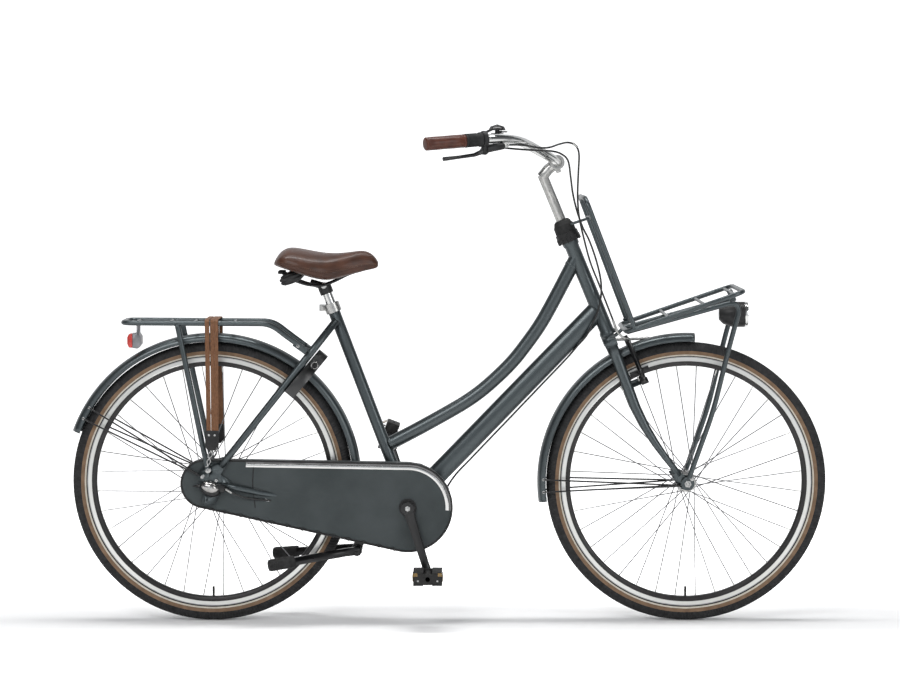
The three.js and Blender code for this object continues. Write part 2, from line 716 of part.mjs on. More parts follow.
// Bright trim along the case's top edge and round its front
const trimInset = 3;
const trimWidth = 17;
const trimThickness = 1.2;
const trimRearShare = 0.2;
const trimFront = THREE.MathUtils.degToRad(-4);
const caseTilt = Math.atan2(caseRear.z - bracket.z, caseRear.x - bracket.x);
const caseOpen = Math.acos((caseFrontRadius - caseRearRadius) / bracket.distanceTo(caseRear));
const caseTopAngle = caseTilt - caseOpen;
const arcPoints = (radius) => Array.from({ length: 10 }, (_, i) => {
  const angle = trimFront + (caseTopAngle - trimFront) * i / 9;
  return new THREE.Vector2(bracket.x + radius * Math.cos(angle), bracket.z + radius * Math.sin(angle));
});
const rearPoint = (radiusFront, radiusRear) => {
  const a = new THREE.Vector2(bracket.x + radiusFront * Math.cos(caseTopAngle),
    bracket.z + radiusFront * Math.sin(caseTopAngle));
  const b = new THREE.Vector2(caseRear.x + radiusRear * Math.cos(caseTopAngle),
    caseRear.z + radiusRear * Math.sin(caseTopAngle));
  return b.lerp(a, trimRearShare);
};
const trimShape = new THREE.Shape([
  ...arcPoints(caseFrontRadius - trimInset),
  rearPoint(caseFrontRadius - trimInset, caseRearRadius - trimInset),
  rearPoint(caseFrontRadius - trimInset - trimWidth, caseRearRadius - trimInset - trimWidth),
  ...arcPoints(caseFrontRadius - trimInset - trimWidth).reverse(),
]);
piece('chain_case_trim', plate(trimShape, -caseOuter - runningGap - trimThickness,
  -caseOuter - runningGap),
  'chrome');

// Mudguards: a crowned section carried round the axle, with wire stays
const guardClear = 23;
const guardRadius = tyreRadius + guardClear;
const guardHalfWidth = 27.5;
const guardSkirt = 21;
const guardCrown = 7;
const guardWall = 1.6;
const guardWireRadius = 2.4;
const guardShoulder = 2.5;
const wirePass = [4, 3.2];
const wireHold = 3;

function guardSection() {
  const rows = (shrink) => [
    [-guardHalfWidth + shrink, -guardSkirt],
    [-guardHalfWidth + guardShoulder + shrink, -guardCrown - shrink / 2],
    [0, -shrink],
    [guardHalfWidth - guardShoulder - shrink, -guardCrown - shrink / 2],
    [guardHalfWidth - shrink, -guardSkirt],
  ];
  return outline([...rows(0), ...rows(guardWall).reverse()]);
}

function mudguard(centre, radius, fromDegrees, toDegrees, steps) {
  const rings = Array.from({ length: steps + 1 }, (_, i) => {
    const angle = THREE.MathUtils.degToRad(fromDegrees + (toDegrees - fromDegrees) * i / steps);
    return at(centre.x + radius * Math.cos(angle), 0, centre.z + radius * Math.sin(angle));
  });
  return sweep(guardSection(), rings.reverse());
}

function guardPlace(centre, radius, degrees, side) {
  const angle = THREE.MathUtils.degToRad(degrees);
  return at(centre.x + radius * Math.cos(angle), side, centre.z + radius * Math.sin(angle));
}

function wireStay(foot, centre, radius, degrees) {
  const [wireBelow, wireOut] = wirePass;
  const foothold = Math.abs(foot.y);
  return [-1, 1].map((sign) => rod([
    at(foot.x, sign * foothold, foot.z),
    guardPlace(centre, radius - guardSkirt - wireBelow, degrees, sign * (guardHalfWidth + wireOut)),
    guardPlace(centre, radius - guardCrown, degrees, sign * (guardHalfWidth - wireHold)),
  ], guardWireRadius, { sides: 4 }));
}

const rearGuardFrom = -4.5;
const rearGuardTo = 159.7;
const wireSeat = 1.6;
const boltHead = 1;
const rearWireDegrees = [148.5, 153.5];
const wireSide = dropoutOuter + runningGap + guardWireRadius + wireSeat;
const guardFoot = at(eyes.guard.x, wireSide, eyes.guard.z);
piece('rear_mudguard', fuse(
  mudguard(rearAxle, guardRadius, rearGuardFrom, rearGuardTo, 18),
  ...rearWireDegrees.flatMap((degrees) => wireStay(guardFoot, rearAxle, guardRadius, degrees)),
  ...[-1, 1].map((sign) => pin(at(guardFoot.x, sign * boltInner, guardFoot.z),
    at(guardFoot.x, sign * (guardFoot.y + guardWireRadius + boltHead), guardFoot.z), boltRadius, 8)),
), 'slate');

// Wheels: rim, tyre, inner tube with its valve, and a hub with crossed spokes
const rimDepth = 24.5;
const rimBedDepth = 9.5;
const rimInner = rimOuter - rimDepth;
const rimFlat = 9;
const rimHalfWidth = 12.5;
const rimBed = rimOuter - rimBedDepth;
const tyreHalfWidth = 20.5;
const beadPlay = 0.4;
const tyreClear = 1.5;
const beadFlare = 0.6;
const treadDrop = 7;
const treadHalf = 15;
const vaultSpread = 1;
const innerTubeHalf = 10;
const innerTubeHeight = 9.5;
const innerTubeDrop = 2;
const beadHalf = 10.5;
const beadWall = 3;
const tyreVault = 12;
const wheelSegments = 32;
const tubeSegments = 18;
const valveRadius = 3;
const valveLength = 24.5;
const valveInner = rimInner - valveLength;
const wheelOrigin = at(0, 0, 0);
const wheelTurned = (profile, segments) => turned(profile, wheelOrigin, sideways, segments, true);

function rimShape() {
  const body = wheelTurned([
    [rimInner, -rimFlat], [rimOuter, -rimHalfWidth], [rimBed, -beadHalf - beadPlay],
    [rimBed, beadHalf + beadPlay], [rimOuter, rimHalfWidth], [rimInner, rimFlat],
  ], wheelSegments);
  return cut(body, pin(at(0, 0, -rimBed - overrun), at(0, 0, -rimInner + overrun),
    valveRadius + beadPlay, 8));
}

function tyreShape() {
  const bead = rimBed + beadPlay;
  const wide = tyreRadius - tyreHalfWidth - tyreClear;
  return wheelTurned([
    [bead, -beadHalf], [rimOuter + tyreClear, -beadHalf - beadFlare], [wide, -tyreHalfWidth],
    [tyreRadius - treadDrop, -treadHalf], [tyreRadius, 0], [tyreRadius - treadDrop, treadHalf],
    [wide, tyreHalfWidth], [rimOuter + tyreClear, beadHalf + beadFlare],
    [bead, beadHalf], [bead, beadHalf - beadWall], [wide + tyreVault, beadHalf + vaultSpread],
    [wide + tyreVault, -beadHalf - vaultSpread], [bead, -beadHalf + beadWall],
  ], wheelSegments);
}

function innerTubeShape() {
  const middle = tyreRadius - tyreHalfWidth - innerTubeDrop;
  const body = wheelTurned(ovalPoints(innerTubeHalf, innerTubeHeight, 5).map((p) =>
    [middle + p.x, p.y]), tubeSegments);
  return fuse(body, pin(at(0, 0, -middle), at(0, 0, -valveInner), valveRadius, 8));
}

const spokeCount = 36;
const spokeRadius = 1;
const spokeLayer = 2;
const spokeCross = 3;
const spokeRimSide = 3;
const spokeEndGap = 0.45;
const flangeRim = 3;
const flangeSink = 2;

function spokedHub(shell, flange, flangeSide, flangeThickness) {
  const parts = [turned(shell, wheelOrigin, sideways, 12, true)];
  const perFlange = spokeCount / 2;
  for (const sign of [-1, 1]) {
    const face = sign * flangeSide;
    parts.push(ring(at(0, face - flangeThickness / 2, 0), at(0, face + flangeThickness / 2, 0),
      flange + flangeRim,
      shell[0][0] + flangeSink, 12));
    for (let i = 0; i < perFlange; i += 1) {
      const trailing = i % 2 === 0 ? 1 : -1;
      const rimAngle = fullTurn * (i + (sign > 0 ? 0.25 : 0.75)) / perFlange;
      const hubAngle = rimAngle - trailing * spokeCross * fullTurn / perFlange;
      const hubSide = face + trailing * spokeLayer;
      const foot = at(flange * Math.cos(hubAngle), hubSide, flange * Math.sin(hubAngle));
      const reach = rimInner * Math.cos(Math.PI / wheelSegments) - spokeEndGap;
      const tip = at(reach * Math.cos(rimAngle), sign * spokeRimSide, reach * Math.sin(rimAngle));
      parts.push(rod([foot, tip], spokeRadius, { sides: 3, side: upward }));
    }
  }
  return fuse(...parts);
}

const rearShellEnd = 49.5;
const rearShell = [
  [hubBore, -driverInner + runningGap], [24, -driverInner + runningGap], [26, -rearFlangeSide], [29, -10],
  [30, rearFlangeSide], [24, rearShellEnd], [hubBore, rearShellEnd],
];
const flangeThickness = 6.4;
const frontFlange = 20;
const frontFlangeSide = 33;
const frontShellEnd = 42;
const frontShell = [
  [hubBore, -frontShellEnd], [13, -frontShellEnd], [15, -frontFlangeSide], [11, -20], [11, 20],
  [15, frontFlangeSide], [13, frontShellEnd], [hubBore, frontShellEnd],
];

for (const [side, group, shell, flange, flangeSide] of [
  ['rear', rearWheelGroup, rearShell, rearFlange, rearFlangeSide],
  ['front', frontWheelGroup, frontShell, frontFlange, frontFlangeSide],
]) {
  piece(`${side}_hub`, spokedHub(shell, flange, flangeSide, flangeThickness), 'silver', group);
  piece(`${side}_rim`, rimShape(), 'silver', group);
  piece(`${side}_tyre`, tyreShape(), 'rubber', group);
  piece(`${side}_inner_tube`, innerTubeShape(), 'rubber', group);
}

// Rear rack: a bent rail round the deck, cross bars, and struts down to the dropouts
const rackAboveGuard = 28.5;
const rackTailReach = 218.5;
const rackBarOffsets = [-185.5, -102.5, -42.5, 57.5];
const strutTopOffset = -82.5;
const rackFrontOffsets = [[150.5, -2.5], [192.5, -35.5]];
const rackFootOffset = [231.5, -63.5];
const rackFootSide = 56;
const strutCollar = 1;
const rackHeight = rearAxle.z + guardRadius + rackAboveGuard;
const rackHalfWidth = 62;
const rackRailRadius = 6.5;
const rackTail = rearAxle.x - rackTailReach;
const rackBarRadius = 4;
const rackBars = rackBarOffsets.map((offset) => rearAxle.x + offset);
const strutRadius = 7;
const strutTopX = rearAxle.x + strutTopOffset;
const strutSide = dropoutOuter + 3 * runningGap + strutRadius;
const strutFoot = at(eyes.strut.x, strutSide, eyes.strut.z);
const byRack = ([x, z], side) => at(rearAxle.x + x, side, rackHeight + z);
const rightRail = [
  byRack(rackFootOffset, -rackFootSide),
  ...rackFrontOffsets.map((offset) => byRack(offset, -rackHalfWidth)).reverse(),
  at(rackTail, -rackHalfWidth, rackHeight),
];
const railCorners = [...rightRail, ...mirrored(rightRail).reverse()];
const rackBolt = 5;
piece('rear_rack', fuse(
  rod(railCorners, rackRailRadius, { sides: 8, bend: 28, turns: 2 }),
  ...rackBars.map((x) => rod([at(x, -rackHalfWidth, rackHeight), at(x, rackHalfWidth, rackHeight)],
    rackBarRadius, { sides: 6, side: upward })),
  ...[-1, 1].flatMap((sign) => [
    rod([at(strutTopX, sign * rackHalfWidth, rackHeight), at(strutFoot.x, sign * strutFoot.y,
      strutFoot.z)],
      strutRadius, { sides: 6, side: forward }),
    pin(at(strutFoot.x, sign * (dropoutOuter + runningGap), strutFoot.z),
      at(strutFoot.x, sign * (strutSide + strutRadius + rackBolt), strutFoot.z),
        strutRadius + strutCollar, 8),
    pin(at(strutFoot.x, sign * boltInner, strutFoot.z), at(strutFoot.x, sign * strutSide, strutFoot.z),
      boltRadius, 8),
  ]),
), 'slate');

// Luggage straps over the deck, with a buckle and hook wires on each side
const strapThickness = 2.4;
const strapWidth = 10;
const strapPitch = 12.5;
const strapOffset = 4.5;
const buckleRise = 63;
const buckleShift = 1;
const hookAhead = 3;
const hookEndOffset = [1, 0.5, 10.5];
const strapShoulderShare = 0.6;
const strapShoulderRoom = 2;
const strapEase = 0.6;
const strapEdgeDrop = 3;
const strapSink = 6;
const strapMiddle = rearAxle.x + strapOffset;
const buckleSide = 89;
const buckleHeight = 52;
const buckleBottom = strutFoot.z + buckleRise;
const buckleTop = buckleBottom + buckleHeight;
const buckleHalfWidth = 18;
const buckleThickness = 5;
const hookRadius = 2;
const hookTop = at(strapMiddle + hookAhead, buckleSide, buckleBottom + hookRadius);
const hookEnd = at(strutFoot.x + hookEndOffset[0], buckleSide + hookEndOffset[1],
  strutFoot.z + hookEndOffset[2]);
const strapTop = rackHeight + rackRailRadius + runningGap + strapThickness / 2;
const strapShoulder = rackHalfWidth + rackRailRadius * strapShoulderShare + strapShoulderRoom;
const strapEdge = rackHalfWidth + rackRailRadius + runningGap + strapThickness / 2 + strapEase;

function strapBand(offset) {
  const x = strapMiddle + offset;
  const corners = [
    at(x, -buckleSide, buckleTop - strapSink), at(x, -strapEdge, rackHeight - strapEdgeDrop),
    at(x, -strapShoulder, strapTop), at(x, strapShoulder, strapTop),
    at(x, strapEdge, rackHeight - strapEdgeDrop), at(x, buckleSide, buckleTop - strapSink),
  ];
  const section = outline([
    [-strapWidth / 2, -strapThickness / 2], [strapWidth / 2, -strapThickness / 2],
    [strapWidth / 2, strapThickness / 2], [-strapWidth / 2, strapThickness / 2],
  ]);
  return sweep(section, corners, forward);
}

piece('luggage_straps', fuse(
  ...[-strapPitch, 0, strapPitch].map(strapBand),
  ...[-1, 1].flatMap((sign) => [
    block(at(strapMiddle + buckleShift, sign * buckleSide, (buckleTop + buckleBottom) / 2),
      at(2 * buckleHalfWidth, buckleThickness, buckleHeight)),
    rod([at(hookTop.x, sign * hookTop.y, hookTop.z), at(hookEnd.x, sign * hookEnd.y, hookEnd.z)],
      hookRadius,
      { sides: 6, side: forward }),
  ]),
), 'strap');

// Tail light under the rack's rear bar
const lightDepth = 34;
const lightHeight = 38;
const lightHang = 29.5;
const lightSetIn = 7;
const lightRear = rackTail + lightSetIn;
const lightFront = lightRear + lightDepth;
const lightTop = rackHeight - lightHang;
const lightBottom = lightTop - lightHeight;
const lensEdge = 2;
const lensRound = 4;
const lensShoulders = [12, 9];
const hoodRound = [5, 8, 10];
const lightPostHalf = 4;
const lightPostHalfWidth = 11;
const lensInset = 1;
const lightHalfWidth = 27;
const lensDepth = 13;
const postX = rackBars[0];
const hoodShape = outline([
  [lightRear + lensDepth + runningGap, lightBottom + lensEdge], [lightRear + lensDepth + runningGap,
    lightTop],
  [lightFront - hoodRound[0], lightTop], [lightFront, lightTop - hoodRound[1]],
  [lightFront, lightBottom + hoodRound[2]], [lightFront - hoodRound[1], lightBottom],
]);
const lensShape = outline([
  [lightRear + lensRound, lightBottom + lensEdge + lensInset], [lightRear, lightBottom + lensShoulders[0]],
  [lightRear, lightTop - lensShoulders[1]], [lightRear + lensRound, lightTop - lensInset],
  [lightRear + lensDepth, lightTop], [lightRear + lensDepth, lightBottom + lensEdge],
]);
piece('tail_light_housing', fuse(
  plate(hoodShape, -lightHalfWidth, lightHalfWidth),
  block(at(postX, 0, (lightTop - lensEdge + rackHeight - rackBarRadius) / 2),
    at(2 * lightPostHalf, 2 * lightPostHalfWidth,
      rackHeight - rackBarRadius - lightTop + lensEdge - 2 * runningGap)),
), 'dull');
piece('tail_light_lens', plate(lensShape, -lightHalfWidth + lensInset, lightHalfWidth - lensInset), 'red');

// Ring lock ahead of the seat stays: a horseshoe round the tyre, in a plane through the axle
const lockAngle = THREE.MathUtils.degToRad(50);
const lockAhead = 6.5;
const lockBelowTread = 16;
const lockMiddle = tyreRadius - lockBelowTread;
const lockArc = 52;
const lockBand = 10;
const lockHalfDepth = 14;
const lockTop = 92;
const lockLegEnd = 40;
const lockFrame = new THREE.Group();
lockFrame.rotation.y = Math.PI / 2 - lockAngle;
lockFrame.position.copy(rearAxle)
  .add(at(lockMiddle * Math.cos(lockAngle), 0, lockMiddle * Math.sin(lockAngle)))
  .add(at(lockAhead * Math.sin(lockAngle), 0, -lockAhead * Math.cos(lockAngle)));
bike.add(lockFrame);

// In the lock's own frame Y runs across the bike, Z away from the axle and X along the tyre's run.
function lockPlate(shape, xFrom, xTo) {
  const geometry = new THREE.ExtrudeGeometry(shape, { depth: xTo - xFrom, bevelEnabled: false,
    curveSegments: 6 });
  geometry.applyMatrix4(new THREE.Matrix4().makeBasis(sideways, upward, forward));
  return geometry.translate(xFrom, 0, 0);
}

const lockEase = [0.2, 0.1];
const lockShape = new THREE.Shape();
lockShape.moveTo(-lockArc - lockBand, -lockLegEnd);
lockShape.lineTo(-lockArc - lockBand, lockBand);
lockShape.absarc(0, 0, lockArc + lockBand, Math.PI - lockEase[0], lockEase[0], true);
lockShape.lineTo(lockArc + lockBand, -lockLegEnd);
lockShape.lineTo(lockArc - lockBand, -lockLegEnd);
lockShape.absarc(0, 0, lockArc - lockBand, -lockEase[1], Math.PI + lockEase[1], false);
lockShape.lineTo(-lockArc + lockBand, -lockLegEnd);
const hoodHalf = [[34, 40], [30, lockTop - 12], [14, lockTop]];
const lockHood = new THREE.Shape([
  ...hoodHalf, ...hoodHalf.map(([y, z]) => [-y, z]).reverse(),
].map(([y, z]) => new THREE.Vector2(y, z)));
const shackleRadius = 4.5;
const shacklePlay = 1;
const shackleFrom = THREE.MathUtils.degToRad(82);
const shackleTo = THREE.MathUtils.degToRad(205);
const arcInLock = (radius, from, to, steps) => Array.from({ length: steps + 1 }, (_, i) => {
  const angle = from + (to - from) * i / steps;
  return at(0, radius * Math.cos(angle), radius * Math.sin(angle));
});
const mirrorArc = (points) => points.map((p) => at(p.x, -p.y, p.z));
const channelEase = [0.08, 0.5];
const socketSpan = [-0.95, -0.42];
const channelRadius = shackleRadius + shacklePlay;
const lockChannel = rod(mirrorArc(arcInLock(lockArc, shackleFrom - channelEase[0],
  shackleTo + channelEase[1], 9)),
  channelRadius, { sides: 6, side: forward });
const lockSocket = rod(mirrorArc(arcInLock(lockArc, ...socketSpan, 3)), channelRadius, { sides: 6,
  side: forward });
const keySide = -44;
const keyRaise = 58;
const keyRadius = 7;
const keyAhead = 2;
const barrelReach = [16, -8];
const barrelOuter = 11;
const keyReach = [-14, 2];
const bowOut = -20;
const bowSize = at(3, 16, 20);
const onKey = (y) => at(keyAhead, keySide + y, keyRaise);
const lockBarrel = pin(...barrelReach.map(onKey), barrelOuter, 12);
const lockKeyhole = pin(onKey(barrelReach[1] - overrun), onKey(keyReach[1]), keyRadius + runningGap, 12);
lockFrame.updateMatrixWorld(true);
const toLock = lockFrame.matrixWorld.clone().invert();
const lockSeats = [seatStayPlaces, mirrored(seatStayPlaces)].map((line) => tapered(line,
  seatStaySizes.map(([a, b]) => [a + runningGap, b + runningGap]), 8).applyMatrix4(toLock));
piece('ring_lock_body', cut(
  fuse(lockPlate(lockShape, -lockHalfDepth, lockHalfDepth), lockPlate(lockHood, -lockHalfDepth,
    lockHalfDepth),
    lockBarrel),
  lockChannel, lockSocket, lockKeyhole, ...lockSeats,
), 'black', lockFrame);
piece('ring_lock_shackle', rod(mirrorArc(arcInLock(lockArc, shackleFrom, shackleTo, 9)), shackleRadius,
  { sides: 6, side: forward }), 'silver', lockFrame);
piece('ring_lock_key', fuse(
  pin(onKey(keyReach[0]), onKey(keyReach[1] - runningGap), keyRadius, 12),
  block(onKey(bowOut), bowSize),
), 'black', lockFrame);

// Stand: a bracket under the chain stays and two legs on one pivot, folded back
const standPivot = byBracket([-128.5, -113]);
const standFoot = byBracket([-344.5, -139]);
const standPivotHalf = 26;
const standHalfAtFoot = 111;
const standBarrel = 13;
const standPinRadius = 6;
const legRadius = 11.5;
const footRadius = 14;
const bracketTopZ = bracket.z - chainStayRadius;
const bracketPlate = { ahead: 35, length: 46, width: 84, height: 6 };
const bracketOffsets = [
  [14, 101], [56, 101], [56, 91], [32, 75], [14, 6], [8, -10], [-8, -10], [-14, 4], [14, 65],
];
const bracketShape = outline(bracketOffsets.map(([x, z]) => [standPivot.x + x, standPivot.z + z]));
const bracketTopPlate = block(at(standPivot.x + bracketPlate.ahead, 0,
  bracketTopZ - bracketPlate.height / 2),
  at(bracketPlate.length, bracketPlate.width, bracketPlate.height));
const bracketInset = 8;
const legStart = 20;
const legBend = [-30, 14, -3];
const footShare = 0.72;
const footStart = 36;
const legGap = 7.5;
piece('stand_bracket', cut(
  fuse(plate(bracketShape, -standPivotHalf + bracketInset, standPivotHalf - bracketInset),
    bracketTopPlate),
  pin(at(standPivot.x, -standPivotHalf, standPivot.z), at(standPivot.x, standPivotHalf, standPivot.z),
    standPinRadius + 2 * runningGap, 10),
  ...[chainStayPlaces, mirrored(chainStayPlaces)].map((line) => tapered(line,
    chainStaySizes.map(([a, b]) => [a + runningGap, b + runningGap]), 8)),
  cableSlot,
), 'black');
const legs = [-1, 1].map((sign) => fuse(
  rod([at(standPivot.x, sign * (legStart + legRadius), standPivot.z),
    at(standPivot.x + legBend[0], sign * (standPivotHalf + legBend[1]), standPivot.z + legBend[2]),
    at(standFoot.x, sign * standHalfAtFoot, standFoot.z)], legRadius, { sides: 6, side: upward }),
  rod([between(at(standPivot.x, sign * footStart, standPivot.z),
    at(standFoot.x, sign * standHalfAtFoot, standFoot.z), footShare),
  at(standFoot.x, sign * standHalfAtFoot, standFoot.z)], footRadius, { sides: 6, side: upward }),
  pin(at(standPivot.x, sign * (standPivotHalf - legGap), standPivot.z),
    at(standPivot.x, sign * (standPivotHalf + legBend[1]), standPivot.z), standBarrel, 10),
));
piece('stand_legs', fuse(
  pin(at(standPivot.x, -standPivotHalf - boltProud, standPivot.z),
    at(standPivot.x, standPivotHalf + boltProud, standPivot.z), standPinRadius, 10),
  ...legs,
), 'black');

// Seat clamp, post, saddle frame and cushion
const clampOuter = 20;
const clampHeight = 24;
const postRadius = 12.7;
const postTop = 52;
const postInside = 230;
const clampRise = 4;
const lugBehind = 25;
const lugSize = at(16, 18, 16);
const lugSlit = at(20, 2, 30);
const slitBehind = 26;
const postPlay = 0.6;
const clampFrom = onSeat(seatTubeLength - clampHeight + clampRise);
const clampTo = onSeat(seatTubeLength + clampRise);
const clampMiddle = onSeat(seatTubeLength - clampHeight / 2 + clampRise);
const clampLug = block(clampMiddle.clone().addScaledVector(forward, -lugBehind), lugSize);
piece('seat_clamp', cut(
  fuse(pin(clampFrom, clampTo, clampOuter, 14), clampLug),
  pin(onSeat(seatTubeLength - clampHeight), onSeat(seatTubeLength + runningGap),
    seatTubeRadius + runningGap, 14),
  pin(onSeat(seatTubeLength - overrun), onSeat(seatTubeLength + clampHeight), postRadius + postPlay, 12),
  block(clampMiddle.clone().addScaledVector(forward, -slitBehind), lugSlit),
), 'silver');
const postEnd = onSeat(seatTubeLength + postTop);
piece('seat_post', pin(onSeat(seatTubeLength - postInside), postEnd, postRadius, 12), 'chrome');

// Each station of the cushion: ahead of the post's end, top and bottom above it, half width
const saddleStations = [
  [-123.6, 59.9, 52.9, 52], [-112.6, 82.9, 47.9, 84], [-90.6, 98.9, 40.9, 100], [-54.6, 93.9, 27.9, 106],
  [-16.6, 85.9, 15.9, 98], [15.4, 81.9, 11.9, 80], [49.4, 82.9, 20.9, 56], [77.4, 86.9, 29.9, 40],
  [103.4, 89.9, 35.9, 31], [125.4, 77.9, 40.9, 24], [136.4, 59.9, 44.9, 14],
];
const bySaddle = ([x, z], side = 0) => at(postEnd.x + x, side, postEnd.z + z);
const saddleSectionShares = [
  [0, 1], [0.5, 0.96], [0.86, 0.72], [1, 0.36], [0.94, 0.08], [0.62, 0], [0, 0.16], [-0.62, 0],
  [-0.94, 0.08], [-1, 0.36], [-0.86, 0.72], [-0.5, 0.96],
];
const saddleRings = saddleStations.map(([x, top, bottom, half]) => saddleSectionShares.map(
  ([across, up]) => bySaddle([x, bottom + (top - bottom) * up], half * across)));
piece('saddle', loft(saddleRings), 'brown');

const railRadius = 3.5;
const railOffsets = [[103.4, 31.9], [65.4, 9.9], [15.4, -1.1], [-36.6, 0.9], [-72.6, 13.9]];
const railSides = [9, 20, 24, 34, 44];
const bulbRadius = 17;
const bulbProfile = [[0, -19], [12, -16], [bulbRadius, -6], [bulbRadius, 5], [12, 13], [0, 15]];
const bulbOffset = [-76.6, 18.9];
const bulbSide = 46;
const backPlateOffset = [-105.6, 33.9];
const backPlateSize = at(18, 56, 9);
const backRodRadius = 4;
const backRodHalf = [[[-79.6, 17.9], -bulbSide], [[-104.6, 33.9], -22]].map((place) => bySaddle(...place));
const noseOffset = [109.4, 34.9];
const rockerOffset = [-34.6, 7.9];
const rockerRadius = 9;
const headOffset = [0, -2];
const headHalf = 27;
const headBoltRadius = 7;
const headRadius = 17;
const headBelow = 22;
const headAbove = 5;
const railStart = bySaddle(railOffsets[0], -railSides[0]);
piece('saddle_frame', cut(fuse(
  ...[-1, 1].flatMap((sign) => [
    rod(railOffsets.map((offset, i) => bySaddle(offset, sign * railSides[i])), railRadius,
      { sides: 5, bend: 20, turns: 1 }),
    turned(bulbProfile, bySaddle(bulbOffset, sign * bulbSide), seatUp, 8),
  ]),
  block(bySaddle(backPlateOffset), backPlateSize),
  rod([...backRodHalf, ...mirrored(backRodHalf).reverse()], backRodRadius, { sides: 5, side: upward }),
  rod([railStart, bySaddle(noseOffset), ...mirrored([railStart])], railRadius, { sides: 6, side: upward }),
  rod([bySaddle(rockerOffset), bySaddle(headOffset)], rockerRadius, { sides: 6 }),
  pin(bySaddle([0, 0], -headHalf), bySaddle([0, 0], headHalf), headBoltRadius, 8),
  pin(onSeat(seatTubeLength + postTop - headBelow), onSeat(seatTubeLength + postTop + headAbove),
    headRadius, 12),
), pin(onSeat(seatTubeLength - overrun), postEnd.clone().addScaledVector(seatUp, runningGap),
  postRadius + runningGap, 12)),
'black');

// Fork: steerer, crown, two curved blades, brake bosses and dropouts
const steererRadius = 14.3;
const steererRise = 37.7;
const steererTop = headTubeLength + steererRise;
const steererBore = 13;
const steererBoreDepth = 160;
const crownTop = -cupDepth - runningGap;
const crownBottom = -36;
const crownSide = 41;
const bladeEndSide = 52.5;
const bladeHoldInner = 50;
const bladeHoldOuter = 55;
const bladeShares = [
  [-0.1, 0.05], [-0.087, 0.15], [-0.148, 0.302], [-0.2, 0.468], [-0.104, 0.6], [0.094, 0.711], [0.343,
    0.81],
  [0.74, 0.94],
];
const bladeSizes = [[10, 15], [10, 15], [10, 14.5], [10, 13.5], [9.5, 12], [8.5, 10.5], [7.5, 9], [6,
  7.5]];
const axlePlace = at(forkOffset, 0, -forkLength);
const bossBelowRim = 38;
const bossHeight = -forkLength + rimOuter - bossBelowRim;
const bossSide = 40;
const bossFront = 46;
const bossRadius = 5;
const brakeHalf = 7;
const crownArch = 9;
const crownShoulders = [11, 10, 12, 24, 9, 3];
const crownDepth = 32;
const crownBehind = 20;
const steererSink = 14;
const bossBehind = 4;
const bladeSplay = { from: 0.3, over: 0.64 };
const holdOffsets = [[-30, 32], [-8, 34], [14, 10], [13, -12], [-10, -14], [-22, -4]];

function forkBlade(sign) {
  const rings = bladeShares.map(([ahead, down]) => at(forkOffset * ahead,
    sign * (crownSide + (bladeEndSide - crownSide) * Math.max(0,
      (down - bladeSplay.from) / bladeSplay.over)),
    -forkLength * down));
  const hold = outline(holdOffsets.map(([x, z]) => [axlePlace.x + x, axlePlace.z + z]));
  const boss = pin(at(-bossBehind, sign * bossSide, bossHeight), at(bossFront, sign * bossSide,
    bossHeight),
    bossRadius, 8);
  return cut(
    fuse(tapered(rings, bladeSizes, 8), plate(hold, sign * bladeHoldInner, sign * bladeHoldOuter), boss),
    pin(at(axlePlace.x, sign * (bladeHoldInner - overrun), axlePlace.z),
      at(axlePlace.x, sign * (bladeHoldOuter + overrun), axlePlace.z), axleHole, 10),
  );
}

const [crownFlare, crownCheek, crownDrop, crownFlat, archHalf, archRise] = crownShoulders;
const crownHalf = [
  [crownFlat, crownTop], [crownSide + crownCheek, crownTop - crownDrop], [crownSide + crownFlare,
    crownBottom],
  [crownSide - archHalf, crownBottom + archRise],
];
const crownShape = new THREE.Shape([
  ...crownHalf, [0, crownBottom + crownArch], ...crownHalf.map(([y, z]) => [-y, z]).reverse(),
].map(([y, z]) => new THREE.Vector2(y, z)));
const crownBlock = new THREE.ExtrudeGeometry(crownShape, { depth: crownDepth, bevelEnabled: false });
crownBlock.applyMatrix4(new THREE.Matrix4().makeBasis(sideways, upward,
  forward)).translate(-crownBehind, 0, 0);
piece('fork', cut(
  fuse(pin(at(0, 0, crownBottom + steererSink), at(0, 0, steererTop), steererRadius, 14), crownBlock,
    forkBlade(-1), forkBlade(1)),
  pin(at(0, 0, steererTop - steererBoreDepth), at(0, 0, steererTop + overrun), steererBore, 12),
), 'slate', steering);

// Headset top: a ribbed collar and a lock nut round the steerer and quill
const collarFrom = headTubeLength + cupDepth + runningGap;
const collarRadius = 29;
const collarHeight = 24;
const nutTop = 54;
const ribCount = 12;
const ribDepth = 2;
const topNutRadius = 20;
const topNutRound = 4;
const steererClear = 1;
const collarPoints = Array.from({ length: 2 * ribCount }, (_, i) => {
  const angle = Math.PI * i / ribCount;
  const radius = i % 2 === 0 ? collarRadius : collarRadius - ribDepth;
  return new THREE.Vector2(radius * Math.cos(angle), radius * Math.sin(angle));
});
const collar = new THREE.ExtrudeGeometry(new THREE.Shape(collarPoints), { depth: collarHeight,
  bevelEnabled: false })
  .translate(0, 0, collarFrom);
piece('headset_top', cut(
  fuse(collar, turned([
    [0, 0], [topNutRadius, 0], [topNutRadius, nutTop - topNutRound], [topNutRadius - topNutRound,
      nutTop], [0, nutTop],
  ], at(0, 0, collarFrom), upward, 16)),
  pin(at(0, 0, collarFrom - overrun), at(0, 0, steererTop + steererClear), steererRadius + runningGap, 14),
  pin(at(0, 0, collarFrom), at(0, 0, collarFrom + nutTop + overrun), steererBore + runningGap, 12),
), 'black', steering);

